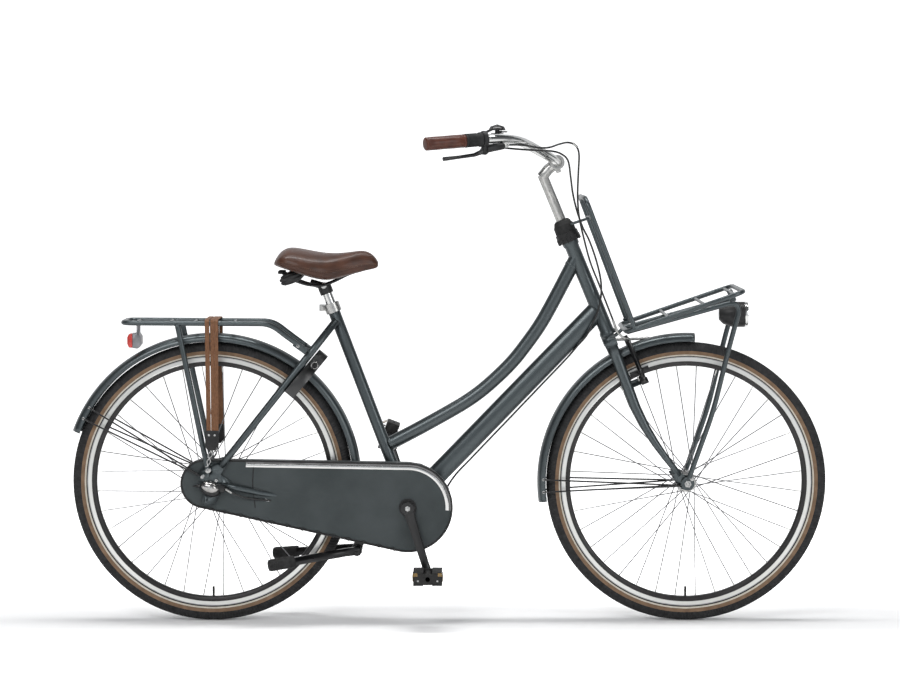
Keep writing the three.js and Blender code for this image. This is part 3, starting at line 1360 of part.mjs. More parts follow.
// Quill stem with its bar clamp
const quillRadius = 12.7;
const quillBottom = steererTop - steererBoreDepth + overrun;
const quillRise = 152;
const quillTop = steererTop + quillRise;
const neckRadius = 14;
const neckPlaces = [at(-4, 0, quillTop - 6), at(18, 0, quillTop + 6)];
const clampPlace = at(45.9, 0, quillTop + 14.5);
const stemClampRadius = 19;
const stemClampHalf = 21;
const barRadius = 11.1;
piece('stem', cut(
  fuse(
    pin(at(0, 0, quillBottom), at(0, 0, quillTop), quillRadius, 12),
    rod([...neckPlaces, clampPlace], neckRadius, { sides: 10 }),
    pin(at(clampPlace.x, -stemClampHalf, clampPlace.z), at(clampPlace.x, stemClampHalf, clampPlace.z),
      stemClampRadius, 14),
  ),
  pin(at(clampPlace.x, -stemClampHalf - overrun, clampPlace.z),
    at(clampPlace.x, stemClampHalf + overrun, clampPlace.z), barRadius + runningGap, 12),
), 'silver', steering);

// Handlebar: up and out from the clamp, then swept back to the grips
const barOffsets = [
  [0, -24, 0], [-7.9, -48, 13.5], [-29.9, -80, 41.5], [-49.9, -118, 67.5], [-67.9, -158, 85.5],
  [-95.9, -200, 102.5], [-135.9, -235.6, 119.3],
];
const barEndOffset = [-285.9, -302, 167.5];
const byClamp = ([x, y, z]) => at(clampPlace.x + x, y, clampPlace.z + z);
const barHalf = barOffsets.map(byClamp);
const barStraight = barHalf[barHalf.length - 1];
const barEnd = byClamp(barEndOffset);
const halfRings = [...spline(barHalf, 9), barEnd];
const barRings = [...halfRings.slice().reverse(), ...mirrored(halfRings)];
piece('handlebar', sweep(oval(barRadius, barRadius, 10), barRings), 'chrome', steering);
const barClear = sweep(oval(barRadius + runningGap, barRadius + runningGap, 10), barRings);

// What sits on the straight part of the bar is placed by its distance along it
const barRun = barEnd.clone().sub(barStraight);
const barLength = barRun.length();
const onBar = (distance, side = -1) => {
  const place = barStraight.clone().addScaledVector(barRun, distance / barLength);
  return side < 0 ? place : at(place.x, -place.y, place.z);
};
const gripRadius = 16.5;
const gripLength = 104;
const gripCap = 2;
const gripSwell = 1;
const gripCollar = [5, 9];
const gripBulgeShare = 0.6;
const gripEndRound = [6, 5];
const gripFrom = barLength - gripLength + gripCap;
const gripBore = barRadius + 2 * runningGap;
const gripProfile = [
  [gripBore, 0], [gripRadius + gripSwell, 0], [gripRadius + gripSwell, gripCollar[0]],
  [gripRadius - gripSwell, gripCollar[1]], [gripRadius, gripLength * gripBulgeShare],
  [gripRadius + gripSwell, gripLength - gripEndRound[0]], [gripRadius - gripEndRound[1], gripLength],
  [0, gripLength], [0, gripLength - gripCap + runningGap], [gripBore, gripLength - gripCap + runningGap],
];
for (const [name, side] of [['grip_right', -1], ['grip_left', 1]]) {
  const direction = onBar(barLength, side).sub(onBar(0, side));
  piece(name, turned(gripProfile, onBar(gripFrom, side), direction, 10, true), 'brown', steering);
}
const sleeveLength = 44;
const sleeveFrom = gripFrom - runningGap - sleeveLength;
const sleeveRadius = 17;
const sleeveLip = 1;
const sleeveWaist = 2;
const sleeveWaistFrom = [8, 14];
const barWay = barRun.clone().normalize();
piece('shifter_sleeve', turned([
  [barRadius + runningGap, 0], [sleeveRadius + sleeveLip, 0], [sleeveRadius, sleeveWaistFrom[0]],
  [sleeveRadius - sleeveWaist, sleeveWaistFrom[1]],
  [sleeveRadius, sleeveLength], [barRadius + runningGap, sleeveLength],
], onBar(sleeveFrom), barWay, 14, true), 'black', steering);

// Brake lever: a perch clamped inboard of the shifter and a lever under the grip
const perchLength = 14;
const perchFrom = sleeveFrom - perchLength - runningGap;
const perchMiddle = onBar(perchFrom + perchLength / 2);
const worldDown = at(-Math.sin(headLean), 0, -Math.cos(headLean));
const leverDrop = 28;
const leverPivot = perchMiddle.clone().addScaledVector(
  worldDown.clone().addScaledVector(barWay, -worldDown.dot(barWay)).normalize(), leverDrop);
const leverAxis = barWay.clone().cross(worldDown).normalize();
const leverTip = byClamp([-258.9, -302, 117.5]);
const leverHalf = 5;
const perchArm = leverPivot.clone().sub(perchMiddle);
const perchHalves = [12, 9];
const perchReachShare = 1.3;
const leverPlay = 1;
const leverSlotRadius = 22;
const leverSlot = pin(leverPivot.clone().addScaledVector(leverAxis, -leverHalf - leverPlay),
  leverPivot.clone().addScaledVector(leverAxis, leverHalf + leverPlay), leverSlotRadius, 12);
const adjusterEnd = byClamp([-103.9, -214, 88.5]);
const adjusterRadius = 6;
const adjusterReach = [7, 9];
const adjusterShare = 0.15;
const adjusterRoot = between(leverPivot, perchMiddle, adjusterShare);
const adjusterWay = adjusterEnd.clone().sub(adjusterRoot).normalize();
const cableIn = adjusterEnd.clone().addScaledVector(adjusterWay, -adjusterReach[0]);
const cableOut = adjusterEnd.clone().addScaledVector(adjusterWay, adjusterReach[1]);
const leverShares = [0, 0.25, 0.62, 1];
const leverSags = [0, 5, 3, 0];
const leverHalves = [7, 5, 4.5, 5.5];
const leverBoss = 10;
const leverRings = leverShares.map((share, i) => between(leverPivot, leverTip, share)
  .addScaledVector(worldDown, leverSags[i]));
piece('brake_lever', fuse(
  tapered(leverRings, leverHalves.map((half) => [leverHalf, half]), 8, leverAxis),
  pin(leverPivot.clone().addScaledVector(leverAxis, -leverHalf),
    leverPivot.clone().addScaledVector(leverAxis, leverHalf), leverBoss, 12),
), 'black', steering);

// Bell on the left side, with its thumb lever
const bellUp = worldDown.clone().negate();
const [bellInner, bellRing] = mirrored(halfRings.slice(-4, -2));
const bellRise = 6;
const bellCentre = bellRing.clone().addScaledVector(bellUp, barRadius + bellRise);
const bellRadius = 22;
const bellClampRadius = 14.5;
const bellClampHalf = 6;
const bellProfile = [
  [0, -3], [17, -3], [17, -0.5], [6, -0.5], [6, 6], [bellRadius, 6], [bellRadius, 9], [bellRadius - 4,
    16], [0, 22],
];
const bellPivotPlace = [12, 2.5];
const bellHingeReach = [2.7, 3];
const bellHingeRadius = 3.5;
const thumbRadius = 2.2;
const thumbReach = [14, 30, 5];
const leftWay = bellRing.clone().sub(bellInner).normalize();
piece('bell', cut(
  fuse(
    pin(bellRing.clone().addScaledVector(leftWay, -bellClampHalf),
      bellRing.clone().addScaledVector(leftWay, bellClampHalf), bellClampRadius, 12),
    turned(bellProfile, bellCentre, bellUp, 12),
  ),
  barClear,
), 'black', steering);
const bellInboard = leftWay.clone().negate();
const bellLeverPivot = bellCentre.clone().addScaledVector(bellInboard, bellPivotPlace[0])
  .addScaledVector(bellUp, bellPivotPlace[1]);
const bellOut = bellUp.clone().cross(leftWay).normalize();
piece('bell_lever', fuse(
  pin(bellLeverPivot.clone().addScaledVector(bellUp, -bellHingeReach[0]),
    bellLeverPivot.clone().addScaledVector(bellUp, bellHingeReach[1]), bellHingeRadius, 8),
  rod([bellLeverPivot, bellLeverPivot.clone().addScaledVector(bellOut, -thumbReach[0]),
    bellLeverPivot.clone().addScaledVector(bellOut, -thumbReach[1]).addScaledVector(bellInboard,
      -thumbReach[2])],
  thumbRadius, { sides: 6, side: bellUp }),
), 'black', steering);

// Front brake arms on the fork's bosses, with shoes beside the rim
const armTop = -37.6;
const armTopLeft = -30;
const wireHeight = -34.5;
const armHub = 8;
const shoeBelowEdge = 12;
const shoeHeight = rimOuter - shoeBelowEdge;
const shoeGap = 2.3;
const shoeInner = rimHalfWidth + shoeGap;
const shoeOuter = 25;
const shoeHalfLength = 25;
const shoeWidth = 10;
const shoeBehind = 2;
const holderRadius = 4;
const holderReach = 14;
const armSplay = [1, 3];
const hubReach = [17, 1.5];
const armBehind = 7.5;
const armMiddle = bossFront - armBehind;
const wireBehind = 7;
const wireHoleRadius = 2.1;
const wireHoleEnd = 80;

function brakeArmPiece(sign) {
  const shoeZ = -forkLength + shoeHeight;
  const hub = pin(at(bossFront - hubReach[0], sign * bossSide, bossHeight),
    at(bossFront + hubReach[1], sign * bossSide, bossHeight), armHub, 12);
  const arm = rod([at(armMiddle, sign * bossSide, bossHeight),
    at(armMiddle, sign * (bossSide + armSplay[0]), shoeZ),
    at(armMiddle, sign * (bossSide + armSplay[1]), sign < 0 ? armTop : armTopLeft)],
  brakeHalf, { sides: 6, side: forward });
  const holder = pin(at(armMiddle, sign * shoeOuter, shoeZ), at(armMiddle,
    sign * (bossSide + holderReach), shoeZ),
    holderRadius, 8);
  const shoe = block(at(armMiddle - shoeBehind, sign * (shoeInner + shoeOuter) / 2, shoeZ),
    at(2 * shoeHalfLength, shoeOuter - shoeInner, shoeWidth));
  const bore = pin(at(0, sign * bossSide, bossHeight), at(bossFront + runningGap, sign * bossSide,
    bossHeight),
    bossRadius + runningGap, 8);
  const wireHole = pin(at(bossFront - wireBehind, 0, wireHeight), at(bossFront - wireBehind,
    wireHoleEnd, wireHeight),
    wireHoleRadius, 8);
  return cut(fuse(hub, arm, holder, shoe), bore, ...(sign < 0 ? [] : [wireHole]));
}

piece('brake_arm_right', brakeArmPiece(-1), 'black', steering);
piece('brake_arm_left', brakeArmPiece(1), 'black', steering);

// Cables: the brake's ends in a bent elbow and a boot above the arms, the gears' runs to the hub
const wireOffBar = [
  [-65.9, -184, 73.5], [-33.9, -158, 53.5], [-7.9, -142, 43.5], [16.1, -126, 41.5],
  [40.1, -112, 36.5], [55.1, -98, 21.5], [55.1, -88, -0.5], [39.1, -76, -37.5],
  [20.1, -68, -79.5], [7.1, -63, -112.5], [-3.9, -58, -150.5],
];
const wireBesideHead = [[34, -54, 1.028], [26, -51, 0.768], [25, -50, 0.533], [24, -50, 0.2937]];
const brakeCableRoute = [
  cableOut, ...wireOffBar.map(byClamp),
  ...wireBesideHead.map(([x, y, share]) => at(x, y, headTubeLength * share)), at(23, -51, 24),
];
const elbowRoute = [
  at(23, -51, 24), at(22, -56, 4), at(24, -57.5, -12), at(32, -52, -27), at(38, -36, -33.5), at(39,
    -10, wireHeight),
];
const elbowEnd = elbowRoute[elbowRoute.length - 1];
const elbowRadius = 3.2;
const bootProfile = [[0, -1], [4.5, -1], [5.5, 9], [4.5, 19], [0, 19]];
const wireRun = [18, 48];
const wireRadius = 1;
const onElbow = (y) => at(elbowEnd.x, elbowEnd.y + y, elbowEnd.z);
piece('brake_cable', fuse(
  rod([cableIn, ...spline(brakeCableRoute, 25)], cableRadius, { sides: 5 }),
  rod(spline(elbowRoute, 7), elbowRadius, { sides: 6 }),
  turned(bootProfile, elbowEnd, sideways, 10),
  pin(...wireRun.map(onElbow), wireRadius, 6),
), 'black', steering);

// The gear cable's run: off the bar in one arch, back under the head and down the down tube
const cableOffBar = [
  [-181.8, -224, 43.7], [-151.8, -206, 37.7], [-119.8, -184, 34.2], [-87.8, -160, 31.7],
  [-49.8, -136, 29.7], [-15.8, -118, 27.7], [7.2, -102, 20.7], [24.2, -88, 3.7],
];
const cableByHead = [
  [-96.5, -75, 389.8], [-90.5, -64, 348.8], [-79.5, -54, 304.8], [-64.5, -47, 263.8],
  [-47.5, -43, 229.8], [-29.5, -38, 178.8], [-18.5, -33, 130.8], [-17.5, -31, 94.8],
  [-23.5, -30, 60.8], [-35.5, -27, 28.8],
];
const cableOnTube = [
  [0.9043, -20, 23.3], [0.8518, -8, 26.2], [0.7927, 0, 29.4], [0.6745, 0, 30.2], [0.4931, 0, 31.4], [0.295, 0, 32.5], [0.1878, 0, 34.3],
];
const clampCentre = onHead(clampPlace.z).addScaledVector(headAhead, clampPlace.x);
const tubeTop = downTubeHead;
const tubeWay = tubeTop.clone().sub(bracket).normalize();
const tubeOut = at(tubeWay.z, 0, -tubeWay.x);
const shiftCableRoute = [
  ...cableOffBar.map(([x, y, z]) => at(clampCentre.x + x, y, clampCentre.z + z)),
  ...cableByHead.map(([x, y, z]) => at(headLower.x + x, y, headLower.z + z)),
  ...cableOnTube.map(([share, y, out]) => between(bracket, tubeTop, share).add(at(0, y, 0))
    .addScaledVector(tubeOut, out)),
];
const shiftCableLine = spline([...shiftCableRoute, ...shiftCableTail], 46);
const cableOnBar = 5;
const cableJoint = shiftCableLine[cableOnBar];
steering.updateMatrixWorld(true);
const toSteering = steering.matrixWorld.clone().invert();
const shiftCableEnd = shiftCableLine.slice(0, cableOnBar + 1).map((p) =>
  p.clone().applyMatrix4(toSteering));
// The cable's first length is held in the perch and goes with the handlebar
const socketShare = 0.72;
const cableSocket = between(perchMiddle, shiftCableEnd[0], socketShare);
piece('brake_perch', cut(
  fuse(
    pin(onBar(perchFrom), onBar(perchFrom + perchLength), sleeveRadius, 14),
    tapered([perchMiddle, perchMiddle.clone().addScaledVector(perchArm, perchReachShare)],
      perchHalves.map((half) => [perchLength / 2, half]), 8, barWay),
    rod([adjusterRoot, adjusterEnd], adjusterRadius, { sides: 8 }),
    rod([cableSocket, ...shiftCableEnd], cableRadius, { sides: 5 }),
  ),
  barClear, leverSlot, pin(cableIn.clone().addScaledVector(adjusterWay, -runningGap), cableOut,
    cableRadius + 2 * runningGap, 8),
), 'black', steering);
const cableNext = shiftCableLine[cableOnBar + 1];
const cableStart = between(cableJoint, cableNext, 3 * runningGap / cableJoint.distanceTo(cableNext));
piece('shift_cable', rod([cableStart, ...shiftCableLine.slice(cableOnBar + 1)], cableRadius,
  { sides: 5 }), 'black');

// Front rack on the fork: deck, slats, back frame, lower tubes and struts to the axle
const rackWide = 150;
const deckRear = at(41, 0, -7);
const deckFront = at(345, 0, -26);
const deckRadius = 6;
const tubeSide = 75;
const lowerRadius = 6.5;
const tubeCorner = at(338.5, 0, -49.6);
const headsetRingRise = 8;
const headsetRingHeight = 10;
const headsetRingRadius = 25;
const headsetRingFrom = collarFrom + collarHeight + headsetRingRise;
const backTopRise = 58.4;
const braceRise = 3.4;
const backTop = at(72, 0, headsetRingFrom + backTopRise);
const backFoot = at(62, 0, 2);
const onDeck = (share) => between(deckRear, deckFront, share);
const slatRadius = 4;
const across = (p, half, radius = slatRadius) => rod([at(p.x, -half, p.z), at(p.x, half, p.z)], radius,
  { sides: 5, side: upward });
const deckCorner = [
  at(deckRear.x, 0, deckRear.z), at(deckRear.x, -rackWide, deckRear.z), at(deckFront.x, -rackWide,
    deckFront.z),
  at(deckFront.x, rackWide, deckFront.z), at(deckRear.x, rackWide, deckRear.z), at(deckRear.x, 0,
    deckRear.z),
];
const slatShares = [0.36, 0.67, 0.925];
const braceHeight = headsetRingFrom + braceRise;
const braceSide = 18;
const bracePlace = between(backFoot, backTop, (braceHeight - backFoot.z) / (backTop.z - backFoot.z));
const strutEnd = at(axlePlace.x + 9, 61, axlePlace.z + 13);
const strutKnees = [
  [deckRear.x + 2, tubeSide, deckRear.z - 6], [tubeCorner.x, tubeSide, tubeCorner.z],
  [axlePlace.x + 226.5, tubeSide, axlePlace.z + 282.6], [axlePlace.x + 127.2, 68, axlePlace.z + 145],
  [strutEnd.x, strutEnd.y, strutEnd.z],
];
const padRadius = 17;
const padThickness = 3.3;
const padClear = 1;
const braceRadius = 3;
const braceEnd = [18, braceHeight + 4];
const rearFootEnd = [13.5, deckRear.z - 10];
const backFootDrop = 8;
const earRaise = 9;
const earSize = at(14, 2.4, 30);
const holdClear = at(80, bladeHoldOuter + runningGap - bladeHoldInner, 80);
const holdRaise = 20;
const farSide = 90;
const lampPivot = at(323.5, 0, -45);
const earSide = 9;
const frontRack = fuse(
  rod(deckCorner, deckRadius, { sides: 6, bend: 30, turns: 2, side: upward }),
  ...slatShares.map((share) => across(onDeck(share), rackWide)),
  rod([at(backFoot.x, -rackWide, backFoot.z - backFootDrop), at(backTop.x, -rackWide, backTop.z),
    at(backTop.x, rackWide, backTop.z), at(backFoot.x, rackWide, backFoot.z - backFootDrop)], deckRadius,
  { sides: 6, bend: 35, turns: 2, side: forward }),
  across(bracePlace, rackWide),
  ...[-1, 1].flatMap((sign) => [
    rod(strutKnees.map(([x, y, z]) => at(x, sign * y, z)), lowerRadius, { sides: 6, bend: 43, turns: 2 }),
    pin(at(axlePlace.x, sign * (bladeHoldOuter + runningGap), axlePlace.z),
      at(axlePlace.x, sign * (bladeHoldOuter + padThickness), axlePlace.z), padRadius, 10),
    rod([at(bracePlace.x, sign * braceSide, bracePlace.z), at(braceEnd[0], sign * braceSide, braceEnd[1])],
      braceRadius, { sides: 5 }),
    rod([at(deckRear.x, sign * braceSide, deckRear.z), at(rearFootEnd[0], sign * braceSide,
      rearFootEnd[1])],
      braceRadius, { sides: 6 }),
    block(at(lampPivot.x, sign * earSide, lampPivot.z + earRaise), earSize),
  ]),
  pin(at(0, 0, headsetRingFrom), at(0, 0, headsetRingFrom + headsetRingHeight), headsetRingRadius, 12),
);
piece('front_rack', cut(frontRack,
  pin(at(0, 0, headsetRingFrom - overrun), at(0, 0, headsetRingFrom + headsetRingHeight + overrun),
    topNutRadius + runningGap, 16),
  ...[-1, 1].flatMap((sign) => [
    pin(at(axlePlace.x, sign * bladeHoldOuter, axlePlace.z), at(axlePlace.x, sign * farSide, axlePlace.z),
      axleHole, 10),
    pin(at(axlePlace.x, sign * (bladeHoldOuter + padThickness), axlePlace.z),
      at(axlePlace.x, sign * farSide, axlePlace.z), nutRadius + padClear, 10),
    block(at(axlePlace.x, sign * (bladeHoldInner + bladeHoldOuter + runningGap) / 2,
      axlePlace.z + holdRaise),
      holdClear),
  ]),
), 'slate', steering);
const onFrontAxle = (y) => at(axlePlace.x, y, axlePlace.z);
const frontAxleProud = 16;
const nutFrom = bladeHoldOuter + padThickness + runningGap;
const frontCone = 9;
piece('front_axle', fuse(
  pin(onFrontAxle(-bladeHoldOuter - frontAxleProud), onFrontAxle(bladeHoldOuter + frontAxleProud),
    axleRadius, 8),
  ...[-1, 1].flatMap((sign) => [
    pin(onFrontAxle(sign * (frontShellEnd + runningGap)),
      onFrontAxle(sign * (bladeHoldInner - runningGap)),
      frontCone, 8),
    pin(onFrontAxle(sign * nutFrom), onFrontAxle(sign * (nutFrom + nutThickness)), nutRadius, 6),
  ]),
), 'silver', steering);

// Lamp under the deck, hung on a lug between two ears
const lampRadius = 32;
const lampDepth = 70;
const lampCentre = at(309, 0, -81);
const lampWay = at(Math.cos(headLean), 0, -Math.sin(headLean));
const lampFrom = lampCentre.clone().addScaledVector(lampWay, -lampDepth / 2);
const lampWall = 3;
const lampRim = 8;
const lampBack = [[0, 0], [14, 0], [24, 10], [lampRadius, 34]];
const lugRadius = 6.4;
const lugEndRadius = 6.5;
const earClear = 1.5;
const lensRadius = lampRadius - lampWall - runningGap;
const lensFront = [[lensRadius, 6], [16, 9], [0, 10]];
const lampBody = fuse(
  turned([...lampBack, [lampRadius, lampDepth], [lampRadius - lampWall, lampDepth],
    [lampRadius - lampWall, lampDepth - lampRim], [0, lampDepth - lampRim]], lampFrom, lampWay, 16),
  rod([lampCentre, lampPivot], lugRadius, { sides: 8, side: forward }),
  pin(at(lampPivot.x, -earSide + earClear, lampPivot.z), at(lampPivot.x, earSide - earClear, lampPivot.z),
    lugEndRadius, 10),
);
piece('lamp_body', lampBody, 'black', steering);
piece('lamp_lens', turned([[0, 0], [lensRadius, 0], ...lensFront],
  lampFrom.clone().addScaledVector(lampWay, lampDepth - lampRim + runningGap), lampWay, 16), 'clear',
    steering);

// Front mudguard with its stays, carried by the crown
const headLeanDegrees = THREE.MathUtils.radToDeg(headLean);
const frontGuardDegrees = [87, 188];
const [frontGuardFrom, frontGuardTo] = frontGuardDegrees.map((degrees) => degrees - headLeanDegrees);
const frontWireBack = [4, 9];
const hangerGap = 1.8;
const hangerAhead = -8;
const hangerRadius = 5;
const hangerTurn = Math.asin((forkOffset - hangerAhead) / guardRadius);
const frontFootOffset = [-20, 4];
const frontGuardFoot = at(axlePlace.x + frontFootOffset[0], bladeHoldOuter + runningGap + guardWireRadius,
  axlePlace.z + frontFootOffset[1]);
piece('front_mudguard', fuse(
  mudguard(axlePlace, guardRadius, frontGuardFrom, frontGuardTo, 11),
  ...frontWireBack.flatMap((back) => wireStay(frontGuardFoot, axlePlace, guardRadius,
    frontGuardTo - back)),
  pin(at(hangerAhead, 0, axlePlace.z + guardRadius * Math.cos(hangerTurn) - guardWall),
    at(hangerAhead, 0, crownBottom + crownArch - hangerGap), hangerRadius, 8),
), 'slate', steering);

export default bike;
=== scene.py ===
# %% [markdown]
# # Dressing a Dutch city bike
# The frame model gives every rigid part at its true size. This lesson gives each of them its
# finish, and models again what needs finer forms: tyres, rims, spokes, cables, saddle, straps,
# chain case, mudguards and racks. Lengths are in metres, except where a comment or a helper says
# millimetres. X is forward, Z is up, and the right side of the bike faces -Y.

import json
import math

import bmesh
import bpy
from mathutils import Matrix, Vector


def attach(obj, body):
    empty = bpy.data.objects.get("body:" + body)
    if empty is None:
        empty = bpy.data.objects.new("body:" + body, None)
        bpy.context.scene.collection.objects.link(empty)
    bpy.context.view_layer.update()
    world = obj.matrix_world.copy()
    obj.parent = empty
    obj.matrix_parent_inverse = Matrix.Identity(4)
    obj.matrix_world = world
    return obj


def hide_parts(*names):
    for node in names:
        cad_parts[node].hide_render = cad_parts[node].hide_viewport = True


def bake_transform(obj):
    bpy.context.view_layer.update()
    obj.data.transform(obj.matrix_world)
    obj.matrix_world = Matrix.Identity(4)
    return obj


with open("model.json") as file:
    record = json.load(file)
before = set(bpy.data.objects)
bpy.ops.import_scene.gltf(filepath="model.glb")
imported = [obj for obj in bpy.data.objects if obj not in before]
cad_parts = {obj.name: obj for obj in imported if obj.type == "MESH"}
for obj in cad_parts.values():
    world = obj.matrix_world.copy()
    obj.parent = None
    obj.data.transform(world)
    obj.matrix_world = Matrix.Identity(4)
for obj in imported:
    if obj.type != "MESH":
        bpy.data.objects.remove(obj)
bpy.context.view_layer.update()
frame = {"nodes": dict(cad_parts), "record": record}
parts = frame["nodes"]
body_of_part = {
    name: body for body, names in frame["record"]["behaviour"]["bodies"].items() for name in names
}

# %% [markdown]
# ## Camera
# The picture was taken from the right side with a long lens, a little above the bike and tilted
# down by a few degrees. A long lens seven metres away keeps both wheels nearly round, which a
# short lens close by would not.

# %% Camera
camera_distance, camera_height, camera_ahead = 7.0, 1.189, 0.0015
camera_tilt = math.radians(3.86)
camera_data = bpy.data.cameras.new("camera")
camera_data.lens = 111.4
camera_data.sensor_width = 36.0
camera_data.dof.use_dof = False
camera = bpy.data.objects.new("camera", camera_data)
camera.location = (camera_ahead, -camera_distance, camera_height)
camera.rotation_euler = (math.pi / 2 - camera_tilt, 0, 0)
bpy.context.scene.collection.objects.link(camera)
bpy.context.scene.camera = camera
bpy.context.scene.view_settings.view_transform = "Standard"
print("camera", camera_distance, "m away, lens", camera_data.lens, "mm")


# %% Helpers that select by hand
def nothing_selected():
    if bpy.context.object and bpy.context.object.mode != "OBJECT":
        bpy.ops.object.mode_set(mode="OBJECT")
    bpy.ops.object.select_all(action="DESELECT")


def take(thing):
    nothing_selected()
    thing.select_set(True)
    bpy.context.view_layer.objects.active = thing


def linked(name, data):
    """A new object in the scene."""
    thing = bpy.data.objects.new(name, data)
    bpy.context.scene.collection.objects.link(thing)
    return thing


def named(thing, name):
    thing.name = thing.data.name = name
    return thing


def short(values):
    return [round(value, 4) for value in values]


def settled(thing, name):
    """Put the object's place into its mesh, so that the object sits at the origin."""
    take(thing)
    bpy.ops.object.transform_apply(location=True, rotation=True, scale=True)
    return named(thing, name)


# %% Helpers for edit mode
def opened(piece, action="SELECT"):
    take(piece)
    bpy.ops.object.mode_set(mode="EDIT")
    bpy.ops.mesh.select_all(action=action)


def picked(piece, kind, chosen):
    """Select those edges, faces or verts of an opened piece that chosen says yes to."""
    edit = bmesh.from_edit_mesh(piece.data)
    for item in getattr(edit, kind):
        item.select = chosen(item)
    bmesh.update_edit_mesh(piece.data)


def extruded(step):
    bpy.ops.mesh.extrude_region_move(TRANSFORM_OT_translate={"value": step})


def merged(reach):
    bpy.ops.mesh.select_all(action="SELECT")
    bpy.ops.mesh.remove_doubles(threshold=reach)
    bpy.ops.mesh.select_all(action="SELECT")


def closed_up():
    """Turn all faces outwards and leave edit mode."""
    bpy.ops.mesh.select_all(action="SELECT")
    bpy.ops.mesh.normals_make_consistent(inside=False)
    bpy.ops.object.mode_set(mode="OBJECT")


# %% Helpers that finish a mesh
def worked(piece, kind, **values):
    """Add a modifier, set it and apply it."""
    take(piece)
    step = piece.modifiers.new("step", kind)
    for key, value in values.items():
        setattr(step, key, value)
    bpy.ops.object.modifier_apply(modifier=step.name)


def edged(piece, width, segments=2, **limit):
    """Round the piece's sharp edges."""
    worked(piece, "BEVEL", width=width, segments=segments, limit_method="ANGLE", **limit)


def smooth_up_to(degrees):
    bpy.ops.object.shade_smooth_by_angle(angle=math.radians(degrees))


# %% [markdown]
# ## Gear cable and brake cable
# Both cables are springy plastic sleeves that are clipped at a few places and run free between
# them. A tube pulled through a line of points could be made by extruding a circle from point to
# point. A curve with a round section does the same at once and keeps its section true in tight
# bends. It is made a mesh. One cable has to bend where the fork turns; nothing here bends it.

# %% Smooth lines through chosen points
def softened(points, between=8):
    """Points on a smooth line that passes through all the chosen ones."""
    points = [Vector(p) for p in points]
    padded = [2 * points[0] - points[1], *points, 2 * points[-1] - points[-2]]
    line = []
    for a, b, c, d in zip(padded, padded[1:], padded[2:], padded[3:]):
        for i in range(between):
            t = i / between
            bent = (2 * a - 5 * b + 4 * c - d) * t * t + (3 * b - a - 3 * c + d) * t * t * t
            line.append(0.5 * (2 * b + (c - a) * t + bent))
    return [*line, points[-1]]


def rounded(corners, bend, steps=8):
    """A line of straight runs whose corners are bent as on a tube bender."""
    corners = [Vector(p) for p in corners]
    most = 0.48  # of each run beside a corner, so that two bends never meet
    line = [corners[0]]
    for before, corner, after in zip(corners, corners[1:], corners[2:]):
        reach = min(bend, (before - corner).length * most, (after - corner).length * most)
        start = corner + (before - corner).normalized() * reach
        end = corner + (after - corner).normalized() * reach
        for i in range(steps + 1):
            t = i / steps
            line.append(start.lerp(corner, t).lerp(corner.lerp(end, t), t))
    return [*line, corners[-1]]


# %% A round bar along a line
def bar_along(name, line, radius, sides=12, closed=False):
    nothing_selected()
    curve = bpy.data.curves.new(name, "CURVE")
    curve.dimensions = "3D"
    spline = curve.splines.new("POLY")
    spline.points.add(len(line) - 1)
    for point, place in zip(spline.points, line):
        point.co = (*place, 1)
    spline.use_cyclic_u = closed
    curve.bevel_depth = radius
    curve.bevel_resolution = max(0, (sides - 4) // 2)
    curve.use_fill_caps = not closed
    curve.twist_mode = "MINIMUM"
    take(linked(name, curve))
    bpy.ops.object.convert(target="MESH")
    piece = bpy.context.object
    opened(piece)
    merged(0.000005)
    closed_up()
    smooth_up_to(50)
    return named(piece, name)


def length_of(line):
    return sum((b - a).length for a, b in zip(line, line[1:]))


# %% Directions, and places on the steering
to_front, to_left, to_top = Vector((1, 0, 0)), Vector((0, 1, 0)), Vector((0, 0, 1))
head_lower = Vector((0.397508, 0, 0.731185))
head_ahead = Vector((0.92321, 0, 0.384295))
head_up = Vector((-0.384295, 0, 0.92321))


def steered(ahead, side, up):
    """A place in millimetres from the lower end of the head tube, along its lean."""
    return head_lower + head_ahead * ahead * 0.001 + head_up * up * 0.001 + Vector((0, side * 0.001, 0))


def mm(*points):
    """Places given in millimetres."""
    return [Vector(p) * 0.001 for p in points]


# %% Gear cable
cable_radius = 0.0025
gear_points = mm(
    (88, -224, 1201), (118, -206, 1195), (150, -184, 1191.5), (182, -160, 1189), (220, -136, 1187),
    (254, -118, 1185), (277, -102, 1178), (294, -88, 1161), (301, -75, 1121), (307, -64, 1080),
    (318, -54, 1036), (333, -47, 995), (350, -43, 961), (368, -38, 910), (379, -33, 862),
    (380, -31, 826), (374, -30, 792), (362, -27, 760), (345, -20, 724), (322, -8, 696),
    (296, 0, 664.5), (240, 0, 605.5), (154, 0, 515), (60, 0, 416.3), (10, 0, 362),
    (-40, -4, 285), (-92, -12, 262), (-150, -22, 278), (-230, -30, 291.5), (-330, -38, 301),
    (-430, -54, 309), (-500, -66, 317.5), (-540, -75, 330), (-562, -79, 344),
)
gear_line = softened(gear_points)
gear_cable = bar_along("gear_cable", gear_line, cable_radius)
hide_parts("shift_cable")

